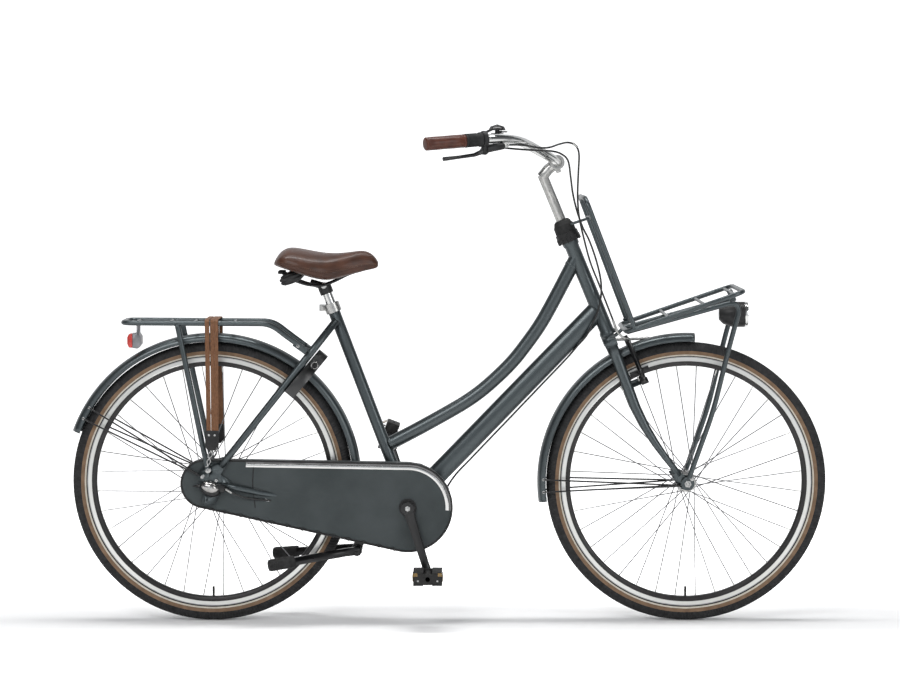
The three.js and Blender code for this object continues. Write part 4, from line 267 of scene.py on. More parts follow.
# %% Brake cable
brake_points = [
    (-20, -184, 516), (12, -158, 496), (38, -142, 486), (62, -126, 484), (86, -112, 479),
    (101, -98, 464), (101, -88, 442), (85, -76, 405), (66, -68, 363), (53, -63, 330),
    (42, -58, 292), (34, -54, 245), (26, -51, 183), (25, -50, 127), (24, -50, 70), (23, -51, 24),
]
brake_start = [(0.13369, -0.21708, 1.19812), (0.14788, -0.21004, 1.2004)]
brake_line = softened([*brake_start, *(steered(*p) for p in brake_points)])
brake_cable = bar_along("brake_cable_sleeve", brake_line, cable_radius)
elbow_points = [
    (23, -51, 24), (22, -56, 4), (24, -57.5, -12), (32, -52, -27), (38, -36, -33.5), (39, -10, -34.5),
]
brake_elbow = bar_along("brake_elbow", softened([steered(*p) for p in elbow_points]), 0.0031)
for piece in (brake_cable, brake_elbow):
    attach(piece, "steering")
    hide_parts("brake_cable")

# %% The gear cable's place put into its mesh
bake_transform(gear_cable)

# %% [markdown]
# ## Floor and light
# A studio picture has no corner between floor and wall. One pale plane bent up behind the bike
# gives that.

# %% Floor
nothing_selected()
bpy.ops.mesh.primitive_plane_add(size=1, location=(0, 0, -0.0005))
floor = bpy.context.object
floor.scale = (40, 16, 1)
settled(floor, "studio_floor")
opened(floor, "DESELECT")
picked(floor, "edges", lambda edge: all(v.co.y > 0 for v in edge.verts))
for rise, run in ((0.3, 1.4), (1.1, 1.1), (1.4, 0.3), (12.0, 0.0)):
    extruded((0, run, rise))
bpy.ops.object.mode_set(mode="OBJECT")
print("floor spans", tuple(floor.dimensions))


# %% Nodes by hand
def node(tree, kind, feeds=None, **settings):
    """Add a shader node. Each feed is a socket to link or a value to set."""
    added = tree.nodes.new("ShaderNode" + kind)
    for key, value in settings.items():
        setattr(added, key, value)
    for key, value in (feeds or {}).items():
        if isinstance(value, bpy.types.NodeSocket):
            tree.links.new(value, added.inputs[key])
        else:
            added.inputs[key].default_value = value
    return added


def reckoned(tree, operation, *values, clamp=False):
    """The result of a sum on sockets and numbers."""
    feeds = dict(enumerate(values))
    return node(tree, "Math", feeds, operation=operation, use_clamp=clamp).outputs[0]


def laid_over(tree, value, start, stop, low, high, kind="SMOOTHSTEP"):
    """The value's span from start to stop, laid over low to high."""
    feeds = {"Value": value, "From Min": start, "From Max": stop, "To Min": low, "To Max": high}
    return node(tree, "MapRange", feeds, interpolation_type=kind).outputs["Result"]


def parted(tree, vector):
    return node(tree, "SeparateXYZ", {"Vector": vector}).outputs


def new_tree(holder):
    holder.use_nodes = True
    return holder.node_tree


# %% [markdown]
# ## The floor's finish
# The middle strip under the tyres is a pale sheet that takes their shadow. Away from it the sheet
# shines an even white to the camera and in reflections, as an overexposed studio backdrop does.

# %% Floor material
studio = bpy.data.materials.new("studio_white")
tree = new_tree(studio)
pale = tree.nodes["Principled BSDF"].inputs
pale["Base Color"].default_value = (0.90, 0.90, 0.90, 1)
pale["Roughness"].default_value = 0.9
pale["Specular IOR Level"].default_value = 0.1
pale["Emission Color"].default_value = (1, 1, 1, 1)
rays = node(tree, "LightPath").outputs
seen = reckoned(tree, "MULTIPLY_ADD", rays["Is Glossy Ray"], 0.5, rays["Is Camera Ray"])
seen = reckoned(tree, "ADD", seen, rays["Is Transmission Ray"], clamp=True)
side = parted(tree, node(tree, "TexCoord").outputs["Object"])["Y"]
shine = laid_over(tree, reckoned(tree, "ABSOLUTE", side), 0.10, 0.55, 0.07, 1.0)
tree.links.new(reckoned(tree, "MULTIPLY", shine, seen), pale["Emission Strength"])
floor.data.materials.append(studio)
print("floor nodes", len(tree.nodes))


# %% Lamps
def soft_box(name, place, aim, size, power):
    data = bpy.data.lights.new(name, "AREA")
    data.shape = "RECTANGLE"
    data.size, data.size_y = size
    data.energy = power
    lamp = linked(name, data)
    lamp.location = place
    lamp.rotation_mode = "QUATERNION"
    lamp.rotation_quaternion = (Vector(aim) - Vector(place)).to_track_quat("-Z", "Y")


soft_box("key_box", (-1.8, -3.6, 3.4), (0, 0, 0.5), (3.0, 1.4), 95)
soft_box("fill_box", (3.0, -3.2, 2.0), (0.2, 0, 0.5), (1.6, 2.4), 45)
soft_box("top_box", (0.0, 0.1, 4.2), (0, 0, 0.3), (4.4, 0.45), 130)
print("lamps", len(bpy.data.lights))

# %% [markdown]
# ## The room round the bike
# A photographer's room is bright at eye level and dark overhead and at its two ends, which is
# what draws the dark and bright lines along chrome. The camera itself sees plain white.

# %% Sky of the studio
world = bpy.data.worlds.new("studio_world")
tree = new_tree(world)
dim = tree.nodes["Background"]
dim.inputs["Color"].default_value = (0.92, 0.95, 1.0, 1)
way = parted(tree, node(tree, "TexCoord").outputs["Generated"])
shares = [
    laid_over(tree, reckoned(tree, "ABSOLUTE", way[axis]), start, stop, bright, dark)
    for axis, start, stop, bright, dark in (("Z", 0.22, 0.62, 0.72, 0.16), ("X", 0.55, 0.85, 1.0, 0.3))
]
tree.links.new(reckoned(tree, "MULTIPLY", *shares), dim.inputs["Strength"])
white = node(tree, "Background", {"Color": (1, 1, 1, 1), "Strength": 1.0})
rays = node(tree, "LightPath").outputs
seen = reckoned(tree, "ADD", rays["Is Camera Ray"], rays["Is Transmission Ray"], clamp=True)
choice = node(tree, "MixShader", {0: seen, 1: dim.outputs[0], 2: white.outputs[0]})
tree.links.new(choice.outputs[0], tree.nodes["World Output"].inputs["Surface"])
bpy.context.scene.world = world
print("world nodes", len(tree.nodes))


# %% [markdown]
# ## Finishes
# A real finish is never one flat colour. Paint has a fine orange-peel surface and a little metal
# flake, rubber has a dusty bloom, leather has creases and pores, and metal shows the direction in
# which it was rolled or polished. Each finish below starts from the shader's own sockets, and
# noise adds only what changes over the surface.

# %% Building blocks of a finish
def finish(name, roughness=0.5, metallic=0.0, coat=0.0, coat_roughness=0.1, specular=0.5, sheen=0.0):
    material = bpy.data.materials.new(name)
    inputs = new_tree(material).nodes["Principled BSDF"].inputs
    inputs["Roughness"].default_value = roughness
    inputs["Metallic"].default_value = metallic
    inputs["Coat Weight"].default_value = coat
    inputs["Coat Roughness"].default_value = coat_roughness
    inputs["Specular IOR Level"].default_value = specular
    inputs["Sheen Weight"].default_value = sheen
    return material


def grain(material, scale, detail=3.0, stretch=(1, 1, 1), cells=False):
    """Noise over the surface, or small cells as on leather and reflectors."""
    tree = material.node_tree
    place = node(tree, "TexCoord").outputs["Object"]
    mapping = node(tree, "Mapping", {"Vector": place, "Scale": stretch}).outputs["Vector"]
    if cells:
        return node(tree, "TexVoronoi", {"Scale": scale, "Vector": mapping}).outputs["Distance"]
    return node(tree, "TexNoise", {"Scale": scale, "Detail": detail, "Vector": mapping}).outputs[0]


def shades(material, factor, dark, light, low=0.3, high=0.7):
    """Colour that wanders between two shades."""
    tree = material.node_tree
    band = node(tree, "ValToRGB", {"Fac": factor})
    for element, position, colour in zip(band.color_ramp.elements, (low, high), (dark, light)):
        element.position, element.color = position, (*colour, 1)
    tree.links.new(band.outputs["Color"], tree.nodes["Principled BSDF"].inputs["Base Color"])


def gloss(material, factor, low, high):
    """Roughness that wanders between two values."""
    tree = material.node_tree
    rough = laid_over(tree, factor, 0.3, 0.7, low, high, "LINEAR")
    tree.links.new(rough, tree.nodes["Principled BSDF"].inputs["Roughness"])


def relief(material, factor, height, strength=1.0):
    """A fine raised surface, height in metres."""
    tree = material.node_tree
    normal = tree.nodes["Principled BSDF"].inputs["Normal"]
    feeds = {"Distance": height, "Strength": strength, "Height": factor}
    if normal.is_linked:
        feeds["Normal"] = normal.links[0].from_socket
    tree.links.new(node(tree, "Bump", feeds).outputs["Normal"], normal)


# %% A whole finish
def grey(value):
    return (value, value, value)


def made(name, colours, colour_grain, rough=None, rough_grain=None, raised=(), **sockets):
    """Colours are dark and light. Each grain is a scale with its detail and stretch. What is
    raised is a height and a strength, with its own grain behind them."""
    material = finish(name, **sockets)
    shades(material, grain(material, *colour_grain), *colours)
    if rough:
        gloss(material, grain(material, *rough_grain), *rough)
    for height, strength, *texture in raised:
        relief(material, grain(material, *texture), height, strength)
    return material


# detail, stretch and kind of a grain of small cells
pores = (0, (1, 1, 1), True)

# %% Paint
slate = made("slate_paint", ((0.036, 0.045, 0.048), (0.084, 0.099, 0.104)), (1400, 1), (0.30, 0.38), (9,),
             [(0.00004, 0.5, 420, 2)], roughness=0.36, metallic=0.72, coat=0.2, coat_roughness=0.16)
black_paint = made("black_paint", ((0.004, 0.004, 0.0045), (0.009, 0.009, 0.0095)), (14,), (0.26, 0.4), (30,),
                   [(0.00004, 0.4, 500, 2)], roughness=0.3, specular=0.3, coat=0.22, coat_roughness=0.1)

# %% Bare metals
silver = made("silver_satin", ((0.36, 0.36, 0.35), (0.50, 0.495, 0.48)), (60, 4), (0.26, 0.36), (160,),
              [(0.00003, 0.4, 900, 2)], metallic=1.0, roughness=0.3)
shell_steel = made("shell_steel", ((0.34, 0.33, 0.32), (0.46, 0.45, 0.44)), (60, 3), (0.18, 0.28), (90,),
                   metallic=1.0, roughness=0.22)
chrome = made("chrome_polished", ((0.52, 0.52, 0.51), (0.62, 0.62, 0.61)), (12,), (0.06, 0.16), (22,),
              metallic=1.0, roughness=0.1)
zinc = made("zinc_plated", (grey(0.32), (0.48, 0.48, 0.47)), (220, 4), (0.28, 0.48), (300,),
            [(0.00005, 0.4, 800)], metallic=1.0, roughness=0.36)

# %% Plastics and rubber
black_plastic = made("black_plastic", (grey(0.006), (0.014, 0.014, 0.0145)), (40,), (0.38, 0.55), (90,),
                     [(0.00006, 0.5, 1600, 2)], roughness=0.45, specular=0.35)
cable_sleeve = made("cable_sleeve", (grey(0.008), grey(0.014)), (80,), (0.26, 0.4), (200,), roughness=0.32)
pedal_rubber = made("pedal_rubber", (grey(0.009), (0.022, 0.021, 0.020)), (120, 5), (0.6, 0.85), (60,),
                    [(0.0001, 0.5, 1200, 3)], roughness=0.7, specular=0.35)
print("finishes so far", len(bpy.data.materials))


# %% Cables get their sleeve
def coated(piece, *materials):
    piece.data.materials.clear()
    for material in materials:
        piece.data.materials.append(material)


for piece, material in ((gear_cable, cable_sleeve), (brake_cable, cable_sleeve), (brake_elbow, silver)):
    coated(piece, material)


# %% [markdown]
# ## A first coat for every part
# The frame model's meshes are loose triangles, which shade like cut gems. Where the form is right
# it is copied, its doubled corners are merged and it is shaded smooth up to an angle, so round
# tubes look round and real edges stay crisp. A narrow bevel then catches the light along edges,
# as a pressed or moulded edge does.

# %% Smoothed copies
def smoothed(part, material, angle=40, bevel=0.0):
    piece = linked(part + "_finished", parts[part].data.copy())
    opened(piece)
    bpy.ops.mesh.remove_doubles(threshold=0.00002)
    bpy.ops.mesh.tris_convert_to_quads(face_threshold=0.12, shape_threshold=0.7)
    bpy.ops.object.mode_set(mode="OBJECT")
    if bevel:
        edged(piece, bevel, angle_limit=math.radians(angle))
    smooth_up_to(angle)
    return given(named(piece, part + "_finished"), part, material)


def given(piece, part, *materials, slot=None):
    """Give a finished piece its finish and the body of the part it stands for, and hide that part."""
    coated(piece, *materials)
    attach(piece, body_of_part[part])
    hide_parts(part)
    return piece


# %% Finish of each part that keeps its form
kept = {
    "head_tube": (slate, 62), "rear_stays_right": (slate, 50), "rear_stays_left": (slate, 50),
    "bottom_bracket": (black_paint, 35), "rear_axle": (zinc, 35), "chain": (zinc, 35),
    "stand_bracket": (black_paint, 30), "seat_clamp": (silver, 30), "seat_post": (chrome, 35),
    "crank_spindle": (zinc, 35), "rear_sprocket": (zinc, 35), "rear_inner_tube": (pedal_rubber, 40),
    "stand_legs": (black_paint, 62), "ring_lock_shackle": (zinc, 60),
    "ring_lock_key": (black_plastic, 30), "fork": (slate, 62), "headset_top": (black_plastic, 20),
    "bell": (black_paint, 45), "front_axle": (zinc, 35), "front_inner_tube": (pedal_rubber, 40),
    "bell_lever": (black_plastic, 50), "brake_arm_right": (black_paint, 45),
    "brake_arm_left": (black_paint, 45),
}
for part, (material, angle) in kept.items():
    smoothed(part, material, angle)
print("smoothed", len(kept), "parts")


# %% [markdown]
# ## Turning and repeating
# Tyres, rims, hubs, grips and caps are all round, so each is one outline drawn point by point and
# spun round its axis, as on a lathe. Spokes, nipples and pedal details repeat, so one is modelled and
# the others are copies of it, turned or moved to their places and joined. Laces and studs are made
# at each place and joined.

# %% Draw an outline point by point
def one_corner(place):
    """A mesh with one corner, open in edit mode."""
    nothing_selected()
    bpy.ops.mesh.primitive_plane_add(size=0.001, location=(0, 0, 0))
    piece = bpy.context.object
    opened(piece)
    bpy.ops.mesh.merge(type="CENTER")
    bpy.ops.transform.translate(value=place)
    return piece


def drawn_along(places):
    for here, there in zip(places, places[1:]):
        extruded(there - here)


# %% Spin an outline
def spun(name, outline, centre, axis, side, steps, closed=True, turn=360.0, angle=35):
    """Outline points are millimetres from the axis and along it."""
    centre, axis, side = Vector(centre), Vector(axis).normalized(), Vector(side).normalized()
    places = [centre + side * (r / 1000) + axis * (h / 1000) for r, h in outline]
    piece = one_corner(places[0])
    drawn_along([*places, places[0]] if closed else places)
    merged(0.00001)
    bpy.ops.mesh.spin(steps=steps, angle=math.radians(turn), center=centre, axis=axis)
    merged(0.00001)
    closed_up()
    smooth_up_to(angle)
    return named(piece, name)


# %% Join and copy round
def joined(name, things):
    nothing_selected()
    for thing in things:
        thing.select_set(True)
    bpy.context.view_layer.objects.active = things[0]
    if len(things) > 1:
        bpy.ops.object.join()
    return named(things[0], name)


def copied(thing, matrix):
    other = linked(thing.name, thing.data.copy())
    other.data.transform(matrix)
    return other


def about(centre, axis, degrees):
    centre = Vector(centre)
    turn = Matrix.Rotation(math.radians(degrees), 4, Vector(axis))
    return Matrix.Translation(centre) @ turn @ Matrix.Translation(-centre)


# %% Straight round bars and blocks
def stick(name, start, end, radius, sides=12, taper=None, edge=0.0):
    """A straight round bar, with a bevelled end where edge is given."""
    start, end = Vector(start), Vector(end)
    nothing_selected()
    way = end - start
    bpy.ops.mesh.primitive_cone_add(
        vertices=sides, radius1=radius, radius2=radius if taper is None else taper,
        depth=way.length, location=(start + end) / 2,
        rotation=way.to_track_quat("Z", "Y").to_euler(),
    )
    piece = settled(bpy.context.object, name)
    if edge:
        edged(piece, edge, angle_limit=math.radians(50))
    smooth_up_to(40)
    return piece


def pin(name, place, way, back, out, *sizes, **more):
    """A bar that reaches back and out from a place."""
    place, way = Vector(place), Vector(way)
    return stick(name, place - way * back, place + way * out, *sizes, **more)


def brick(name, centre, size, along=to_front, up=to_top, edge=0.001):
    """A block with rounded edges, its first side along a direction."""
    along, up = Vector(along).normalized(), Vector(up).normalized()
    across = up.cross(along).normalized()
    up = along.cross(across)
    nothing_selected()
    bpy.ops.mesh.primitive_cube_add(size=1, location=(0, 0, 0))
    piece = bpy.context.object
    piece.scale = size
    settled(piece, name)
    turn = Matrix((along, across, up)).transposed().to_4x4()
    piece.data.transform(Matrix.Translation(Vector(centre)) @ turn)
    if edge:
        edged(piece, edge, 3)
    smooth_up_to(35)
    return piece


def stretched(piece, centre, along, share, across, less):
    """The piece made longer in one direction and narrower in another, about a point."""
    here = Matrix.Translation(centre)
    scales = Matrix.Scale(share, 4, Vector(along)) @ Matrix.Scale(less, 4, Vector(across))
    piece.data.transform(here @ scales @ here.inverted())
    return piece


# %% [markdown]
# ## Top tube, down tube and seat tube
# The two long tubes carry the bike's line: a swan-necked round one and an oval one that is deeper
# than it is wide. The frame model gives them twelve or fourteen sides, which shows in paint, so
# they are drawn again with many sides along the same middle lines, with a weld bead at both ends of
# the top tube and at the down tube's foot.

# %% Middle lines
bracket = Vector((-0.1045, 0, 0.293))
seat_up = Vector((-0.355107, 0, 0.934826))
top_foot = bracket + seat_up * 0.160
top_head = head_lower + head_up * 0.2039
top_span = top_head - top_foot
top_aside = Vector((top_span.z, 0, -top_span.x))
swan_shares = [(0, 0), (0.12, 0.037), (0.243, 0.072), (0.34, 0.096), (0.431, 0.108), (0.55, 0.11),
               (0.648, 0.0985), (0.738, 0.0815), (0.842, 0.051), (0.959, 0.0133), (1, 0)]
swan_line = softened([top_foot + top_span * along + top_aside * off for along, off in swan_shares], 5)
print("swan line length", round(length_of(swan_line), 3))


# %% Weld bead
def bead(name, place, way, radius, flat=1.0):
    """The ring that a weld leaves round a tube, wider than high, its radius in millimetres."""
    rise, reach, sides = 2.2 * 0.55, 2.2 * 1.7, 12
    turns = [2 * math.pi * i / sides for i in range(sides)]
    ring = [(radius + rise * math.cos(turn), reach * math.sin(turn)) for turn in turns]
    piece = spun(name, ring, place, way, to_left, steps=48, angle=60)
    piece.data.transform(Matrix.Diagonal((1, flat, 1, 1)))
    return piece


# %% Top tube
foot_way, head_way = swan_line[3] - swan_line[0], swan_line[-1] - swan_line[-4]
welded = [
    bar_along("top_tube_round", swan_line[1:], 0.0175, 28),
    bead("top_weld_rear", top_foot + foot_way.normalized() * 0.0145, foot_way, 17.2),
    bead("top_weld_front", top_head - head_way.normalized() * 0.0240, head_way, 17.2),
]
given(joined("top_tube_welded", welded), "top_tube", slate, slot="frame_paint")
print("top tube pieces", len(welded))

# %% Down tube
down_head = head_lower + head_up * 0.061
down_way = (down_head - bracket).normalized()
down_length = (down_head - bracket).length * 1000  # millimetres, as in the outline below
down_half_height, down_half_width = 25.5, 20
profile = [(0, 8), (15, 8), (20, 12), (24, 20), (down_half_height, 28), (down_half_height, down_length - 9),
           (24.4, down_length - 3), (21.5, down_length), (0, down_length)]
flat = down_half_width / down_half_height
oval = spun("down_tube_oval", profile, bracket, down_way, to_left, steps=56, closed=False, angle=50)
oval.data.transform(Matrix.Diagonal((1, flat, 1, 1)))
welded = [oval, bead("down_weld", bracket + down_way * 0.0285, down_way, 25.2, flat=flat)]
given(joined("down_tube_welded", welded), "down_tube", slate, slot="frame_paint")
print("down tube length", round(down_length), "mm")

# %% Seat tube and bottom bracket shell
pipe_foot, pipe_top = 18.5, 541.8  # millimetres above the bracket's middle
pipe_outline = [(15, pipe_foot), (15, 541), (14.6, pipe_top), (13.1, pipe_top), (13.1, pipe_foot)]
shell_outline = [(17.5, -35), (20.4, -35), (21, -34.4), (21, 34.4), (20.4, 35), (17.5, 35)]
welded = [
    spun("seat_tube_round", pipe_outline, bracket, seat_up, to_left, steps=48, angle=40),
    spun("bracket_shell", shell_outline, bracket, to_left, to_front, steps=56, angle=40),
    bead("seat_weld", bracket + seat_up * 0.0222, seat_up, 14.8),
]
given(joined("seat_tube_welded", welded), "seat_tube", slate, slot="frame_paint")
print("seat tube length", round(pipe_top - pipe_foot), "mm")


# %% [markdown]
# ## Tyres
# The tyre is a black tread on a brown sidewall, with a cream band by the rim. One outline is spun
# round the axle, and each ring of faces takes the finish of its height above the rim, so the bands
# stay sharp. The tread's small slanted blocks are far too many to model, so they are a raised
# pattern in its finish, counted round the wheel.

# %% Rubber finishes
def tread_finish(name, centre):
    rubber = made(name, ((0.012, 0.012, 0.0125), (0.026, 0.026, 0.0265)), (90, 5), (0.62, 0.85), (70,),
                  roughness=0.72, specular=0.3)
    tree = rubber.node_tree
    blocks_per_radian, slant_per_metre = 300, 520
    place = node(tree, "TexCoord").outputs["Object"]
    feeds = {"Vector": place, "Location": (-centre[0], 0, -centre[2])}
    off = parted(tree, node(tree, "Mapping", feeds).outputs["Vector"])
    turn = reckoned(tree, "ARCTAN2", off["Z"], off["X"])
    blocks = reckoned(tree, "MULTIPLY", turn, blocks_per_radian)
    side = reckoned(tree, "ABSOLUTE", off["Y"])
    slant = reckoned(tree, "MULTIPLY_ADD", side, slant_per_metre, blocks)
    relief(rubber, reckoned(tree, "SINE", slant), 0.0006, 0.8)
    relief(rubber, grain(rubber, 900, 3), 0.0002, 0.5)
    return rubber


gumwall = made("gum_sidewall", ((0.135, 0.082, 0.047), (0.215, 0.135, 0.082)), (60, 5), (0.5, 0.72), (120,),
               [(0.00012, 0.5, 1100, 3)], roughness=0.62, specular=0.3)
cream_band = made("cream_band", ((0.50, 0.46, 0.385), (0.64, 0.60, 0.52)), (80, 5), (0.5, 0.7), (120,),
                  roughness=0.6, specular=0.3)
black_rubber = made("black_rubber", (grey(0.010), grey(0.020)), (120, 4), (0.55, 0.8), (80,),
                    [(0.00008, 0.4, 1300, 2)], roughness=0.65, specular=0.3)

# %% Wheel places
rear_axle, front_axle = Vector((-0.5975, 0, 0.353)), Vector((0.5975, 0, 0.353))
wheels = {"rear": rear_axle, "front": front_axle}


def mirrored_across(half):
    """An outline that is the same on both sides of the wheel."""
    return [*half, *((r, -y) for r, y in reversed(half))]


def radius_at(face, axle):
    """How far a face is from the axle, in millimetres."""
    return 1000 * math.hypot(face.center.x - axle.x, face.center.z - axle.z)


# %% Tyres
tyre_half = [
    (352.9, 1.6), (352.0, 2.0), (352.0, 3.0), (352.6, 3.4), (351.9, 7), (350.6, 9.6), (349.4, 10.0),
    (349.1, 10.9), (349.5, 11.5), (347.6, 14), (343, 17.4), (337, 19.8), (331, 20.5), (326, 19.6),
    (322, 17.9), (318.4, 14.8), (316.8, 12.9), (312, 10.8), (307.9, 10.4),
]
tread_over, gum_over, cream_over = 331, 322, 318.4  # radii in millimetres
for end, axle in wheels.items():
    tyre = spun(f"{end}_tyre_rubber", [(353, 0), *mirrored_across(tyre_half)], axle, to_left, to_front,
                steps=160, angle=30)
    given(tyre, f"{end}_tyre", tread_finish(f"{end}_tread", axle), gumwall, cream_band,
          black_rubber, slot="tyre_rubber")
    for face in tyre.data.polygons:
        radius = radius_at(face, axle)
        face.material_index = sum(radius <= least for least in (tread_over, gum_over, cream_over))
    print(end, "tyre faces", len(tyre.data.polygons))

# %% [markdown]
# ## Rims, spokes and hubs
# The rim is a rolled box: polished where the brakes rub, and black towards the hub. Eighteen
# spokes on each side cross others on their way to the hub's flange. Two neighbours lean opposite
# ways, so a pair is modelled for each side and copied nine times round.

# %% Rim finishes
brake_track = made("rim_polished", ((0.60, 0.60, 0.575), (0.66, 0.66, 0.64)), (7, 2, (1, 3, 1)),
                   (0.30, 0.34), (12, 2), metallic=1.0, roughness=0.3)
rim_black = made("rim_black", ((0.012, 0.011, 0.011), (0.024, 0.022, 0.022)), (30,), (0.3, 0.45), (90,),
                 roughness=0.35, metallic=0.3)
rim_hook = made("rim_hook", (grey(0.30), grey(0.40)), (40,), (0.34, 0.46), (90,), metallic=1.0, roughness=0.4)
brass = made("valve_brass", ((0.40, 0.36, 0.26), (0.55, 0.50, 0.38)), (200,), (0.3, 0.42), (400,),
             metallic=1.0, roughness=0.35)
spoke_steel = made("spoke_steel", ((0.11, 0.11, 0.113), (0.17, 0.17, 0.175)), (50, 2), (0.2, 0.32), (60,),
                   metallic=1.0, roughness=0.25)

# %% Rims
rim_outer_half = [(317, 11.9), (316.2, 12.5), (314.2, 12.3), (313.8, 12.0), (305.2, 12.2), (304.6, 12.5),
                  (304.0, 11.6), (299, 11.2), (295.2, 9.4), (292.6, 6.0)]
rim_well_half = [(317, -10.9), (312.5, -11.2), (307.6, -9.0)]
rim_outline = [*mirrored_across(rim_outer_half), *mirrored_across(rim_well_half)]
black_under, hook_over = 304.4, 313.9  # radii in millimetres
for end, axle in wheels.items():
    rim = spun(f"{end}_rim_hoop", rim_outline, axle, to_left, to_front, steps=160, angle=25)
    given(rim, f"{end}_rim", brake_track, rim_black, rim_hook, slot="silver_metal")
    for face in rim.data.polygons:
        radius = radius_at(face, axle)
        face.material_index = 1 if radius < black_under else 2 if radius > hook_over else 0
    stem = pin(f"{end}_valve_stem", axle, to_top, 0.2945, -0.2735, 0.0028, 12)
    given(stem, f"{end}_rim", brass, slot="steel")
    cap = pin(f"{end}_valve_cap", axle, to_top, 0.2785, -0.2682, 0.0034, 12, taper=0.0022, edge=0.0004)
    given(cap, f"{end}_rim", black_rubber)
    print(end, "rim faces", len(rim.data.polygons))

# %% Hubs
hub_outlines = {
    "rear": [
        (5.2, -37.2), (21, -37.2), (24, -36.2), (25, -31.3), (34.6, -31.1), (36, -29.8), (36, -26.2),
        (34.6, -24.9), (28, -24.6), (29, -10), (29.8, 20), (30, 24.4), (34.6, 24.8), (36, 26.2),
        (36, 29.8), (34.6, 31.1), (27, 31.4), (25, 44), (23.4, 49.0), (21, 49.5), (5.2, 49.5),
    ],
    "front": mirrored_across([
        (5.2, -42), (11.6, -42), (13, -41), (14.4, -36.4), (21.6, -36.2), (23, -35), (23, -31.2),
        (21.6, -29.9), (13, -29), (11, -20),
    ]),
}
# radius of each flange and its distance from the middle, in millimetres
flange_places = {"rear": (33, 28), "front": (20, 33)}


def polar(axle, radius, degrees, side):
    """A place round an axle, in millimetres and degrees from +X."""
    turn = math.radians(degrees)
    return axle + Vector((radius * math.cos(turn), side, radius * math.sin(turn))) / 1000


# %% Laced spokes
between_spokes = 360 / 18
lean_holes = 3
for end, axle in wheels.items():
    hub = spun(f"{end}_hub_shell", hub_outlines[end], axle, to_left, to_front, steps=64, angle=30)
    given(hub, f"{end}_hub", silver, slot="silver_metal")
    flange, flange_side = flange_places[end]
    spokes, nipples = [], []
    for sign in (-1, 1):
        for i, lean in enumerate((1, -1)):
            at_rim = between_spokes * (i + (0.25 if sign > 0 else 0.75))
            at_hub = at_rim - lean * lean_holes * between_spokes
            foot = polar(axle, flange, at_hub, sign * flange_side + lean * 2)
            tip = polar(axle, 290.6, at_rim, sign * 3)
            spoke = stick(f"{end}_spoke", foot, tip, 0.00125, 8)
            head = pin(f"{end}_spoke_head", foot, to_left * lean, 0.0012, 0.0012, 0.0019, 8)
            nipple = stick(f"{end}_nipple", tip.lerp(foot, -0.004), tip.lerp(foot, 0.048), 0.0019, 8,
                           taper=0.0016)
            for k in range(9):
                turn = about(axle, to_left, k * 40)
                spokes += [copied(spoke, turn), copied(head, turn)]
                nipples.append(copied(nipple, turn))
            for first in (spoke, head, nipple):
                bpy.data.objects.remove(first)
    given(joined(f"{end}_spokes", spokes), f"{end}_hub", spoke_steel, slot="steel")
    given(joined(f"{end}_nipples", nipples), f"{end}_hub", silver, slot="silver_metal")
    print(end, "spokes", len(nipples))

# %% [markdown]
# ## Mudguards
# A mudguard is rolled from thin sheet: a crowned strip with two skirts, curled over at its edges
# so that it is stiff and doesn't cut. Half a hoop of its outline is spun about the axle as an open
# sheet and given its wall, and a wire is laid in each curl. The stays are bent wire, bolted at the
# dropout and through the skirt.

# %% Roll the guards
guard_half = [(355.6, 27.3), (361, 27.1), (365.6, 25.6), (369.6, 22), (372.6, 17), (374.6, 11), (375.7, 5)]
guard_outline = [*guard_half, (376, 0), *((r, -y) for r, y in reversed(guard_half))]
guard_spans = {"rear": (-4.5, 159.7), "front": (87.0, 188.0)}
curl_steps = 80
guard_wall = 0.0014
for end, axle in wheels.items():
    low_turn, high_turn = guard_spans[end]
    span = high_turn - low_turn
    way = Vector((math.cos(math.radians(low_turn)), 0, math.sin(math.radians(low_turn))))
    sheet = spun(f"{end}_guard_sheet", guard_outline, axle, to_left, way, steps=90, closed=False,
                 turn=span, angle=40)
    worked(sheet, "SOLIDIFY", thickness=guard_wall, offset=-1)
    curls = []
    for side in (-26.9, 26.9):
        line = [polar(axle, 355.9, low_turn + span * i / curl_steps, side) for i in range(curl_steps + 1)]
        curls.append(bar_along(f"{end}_guard_curl", line, 0.0011, 8))
    given(joined(f"{end}_guard_shell", [sheet, *curls]), f"{end}_mudguard", slate, slot="frame_paint")
    print(end, "guard spans", short(sheet.dimensions))

# %% Guard stays
stays = {
    "rear": (Vector((-0.6185, 0.0713, 0.372)), (148.5, 153.5)),
    "front": (steered(19.3, 57.0, -422), (184.0, 179.0)),
}
for end, axle in wheels.items():
    foot, turns = stays[end]
    wires, bolts = [], []
    for sign in (-1, 1):
        start = Vector((foot.x, sign * foot.y, foot.z))
        for degrees in turns:
            knee, stop, over = (
                polar(axle, radius, degrees, sign * side)
                for radius, side in ((330, 33), (358, 27.5), (364, 27.6))
            )
            wires.append(bar_along(f"{end}_stay_wire", rounded([start, knee, stop, over], 0.012), 0.0021, 10))
            inner, outer = (polar(axle, 361, degrees, sign * side) for side in (25.5, 29.2))
            bolts.append(stick(f"{end}_stay_bolt", inner, outer, 0.0038, 6, edge=0.0006))
    given(joined(f"{end}_guard_wires", wires), f"{end}_mudguard", black_paint, slot="black_paint")
    given(joined(f"{end}_guard_bolts", bolts), f"{end}_mudguard", zinc, slot="steel")
    print(end, "stay wires", len(wires))

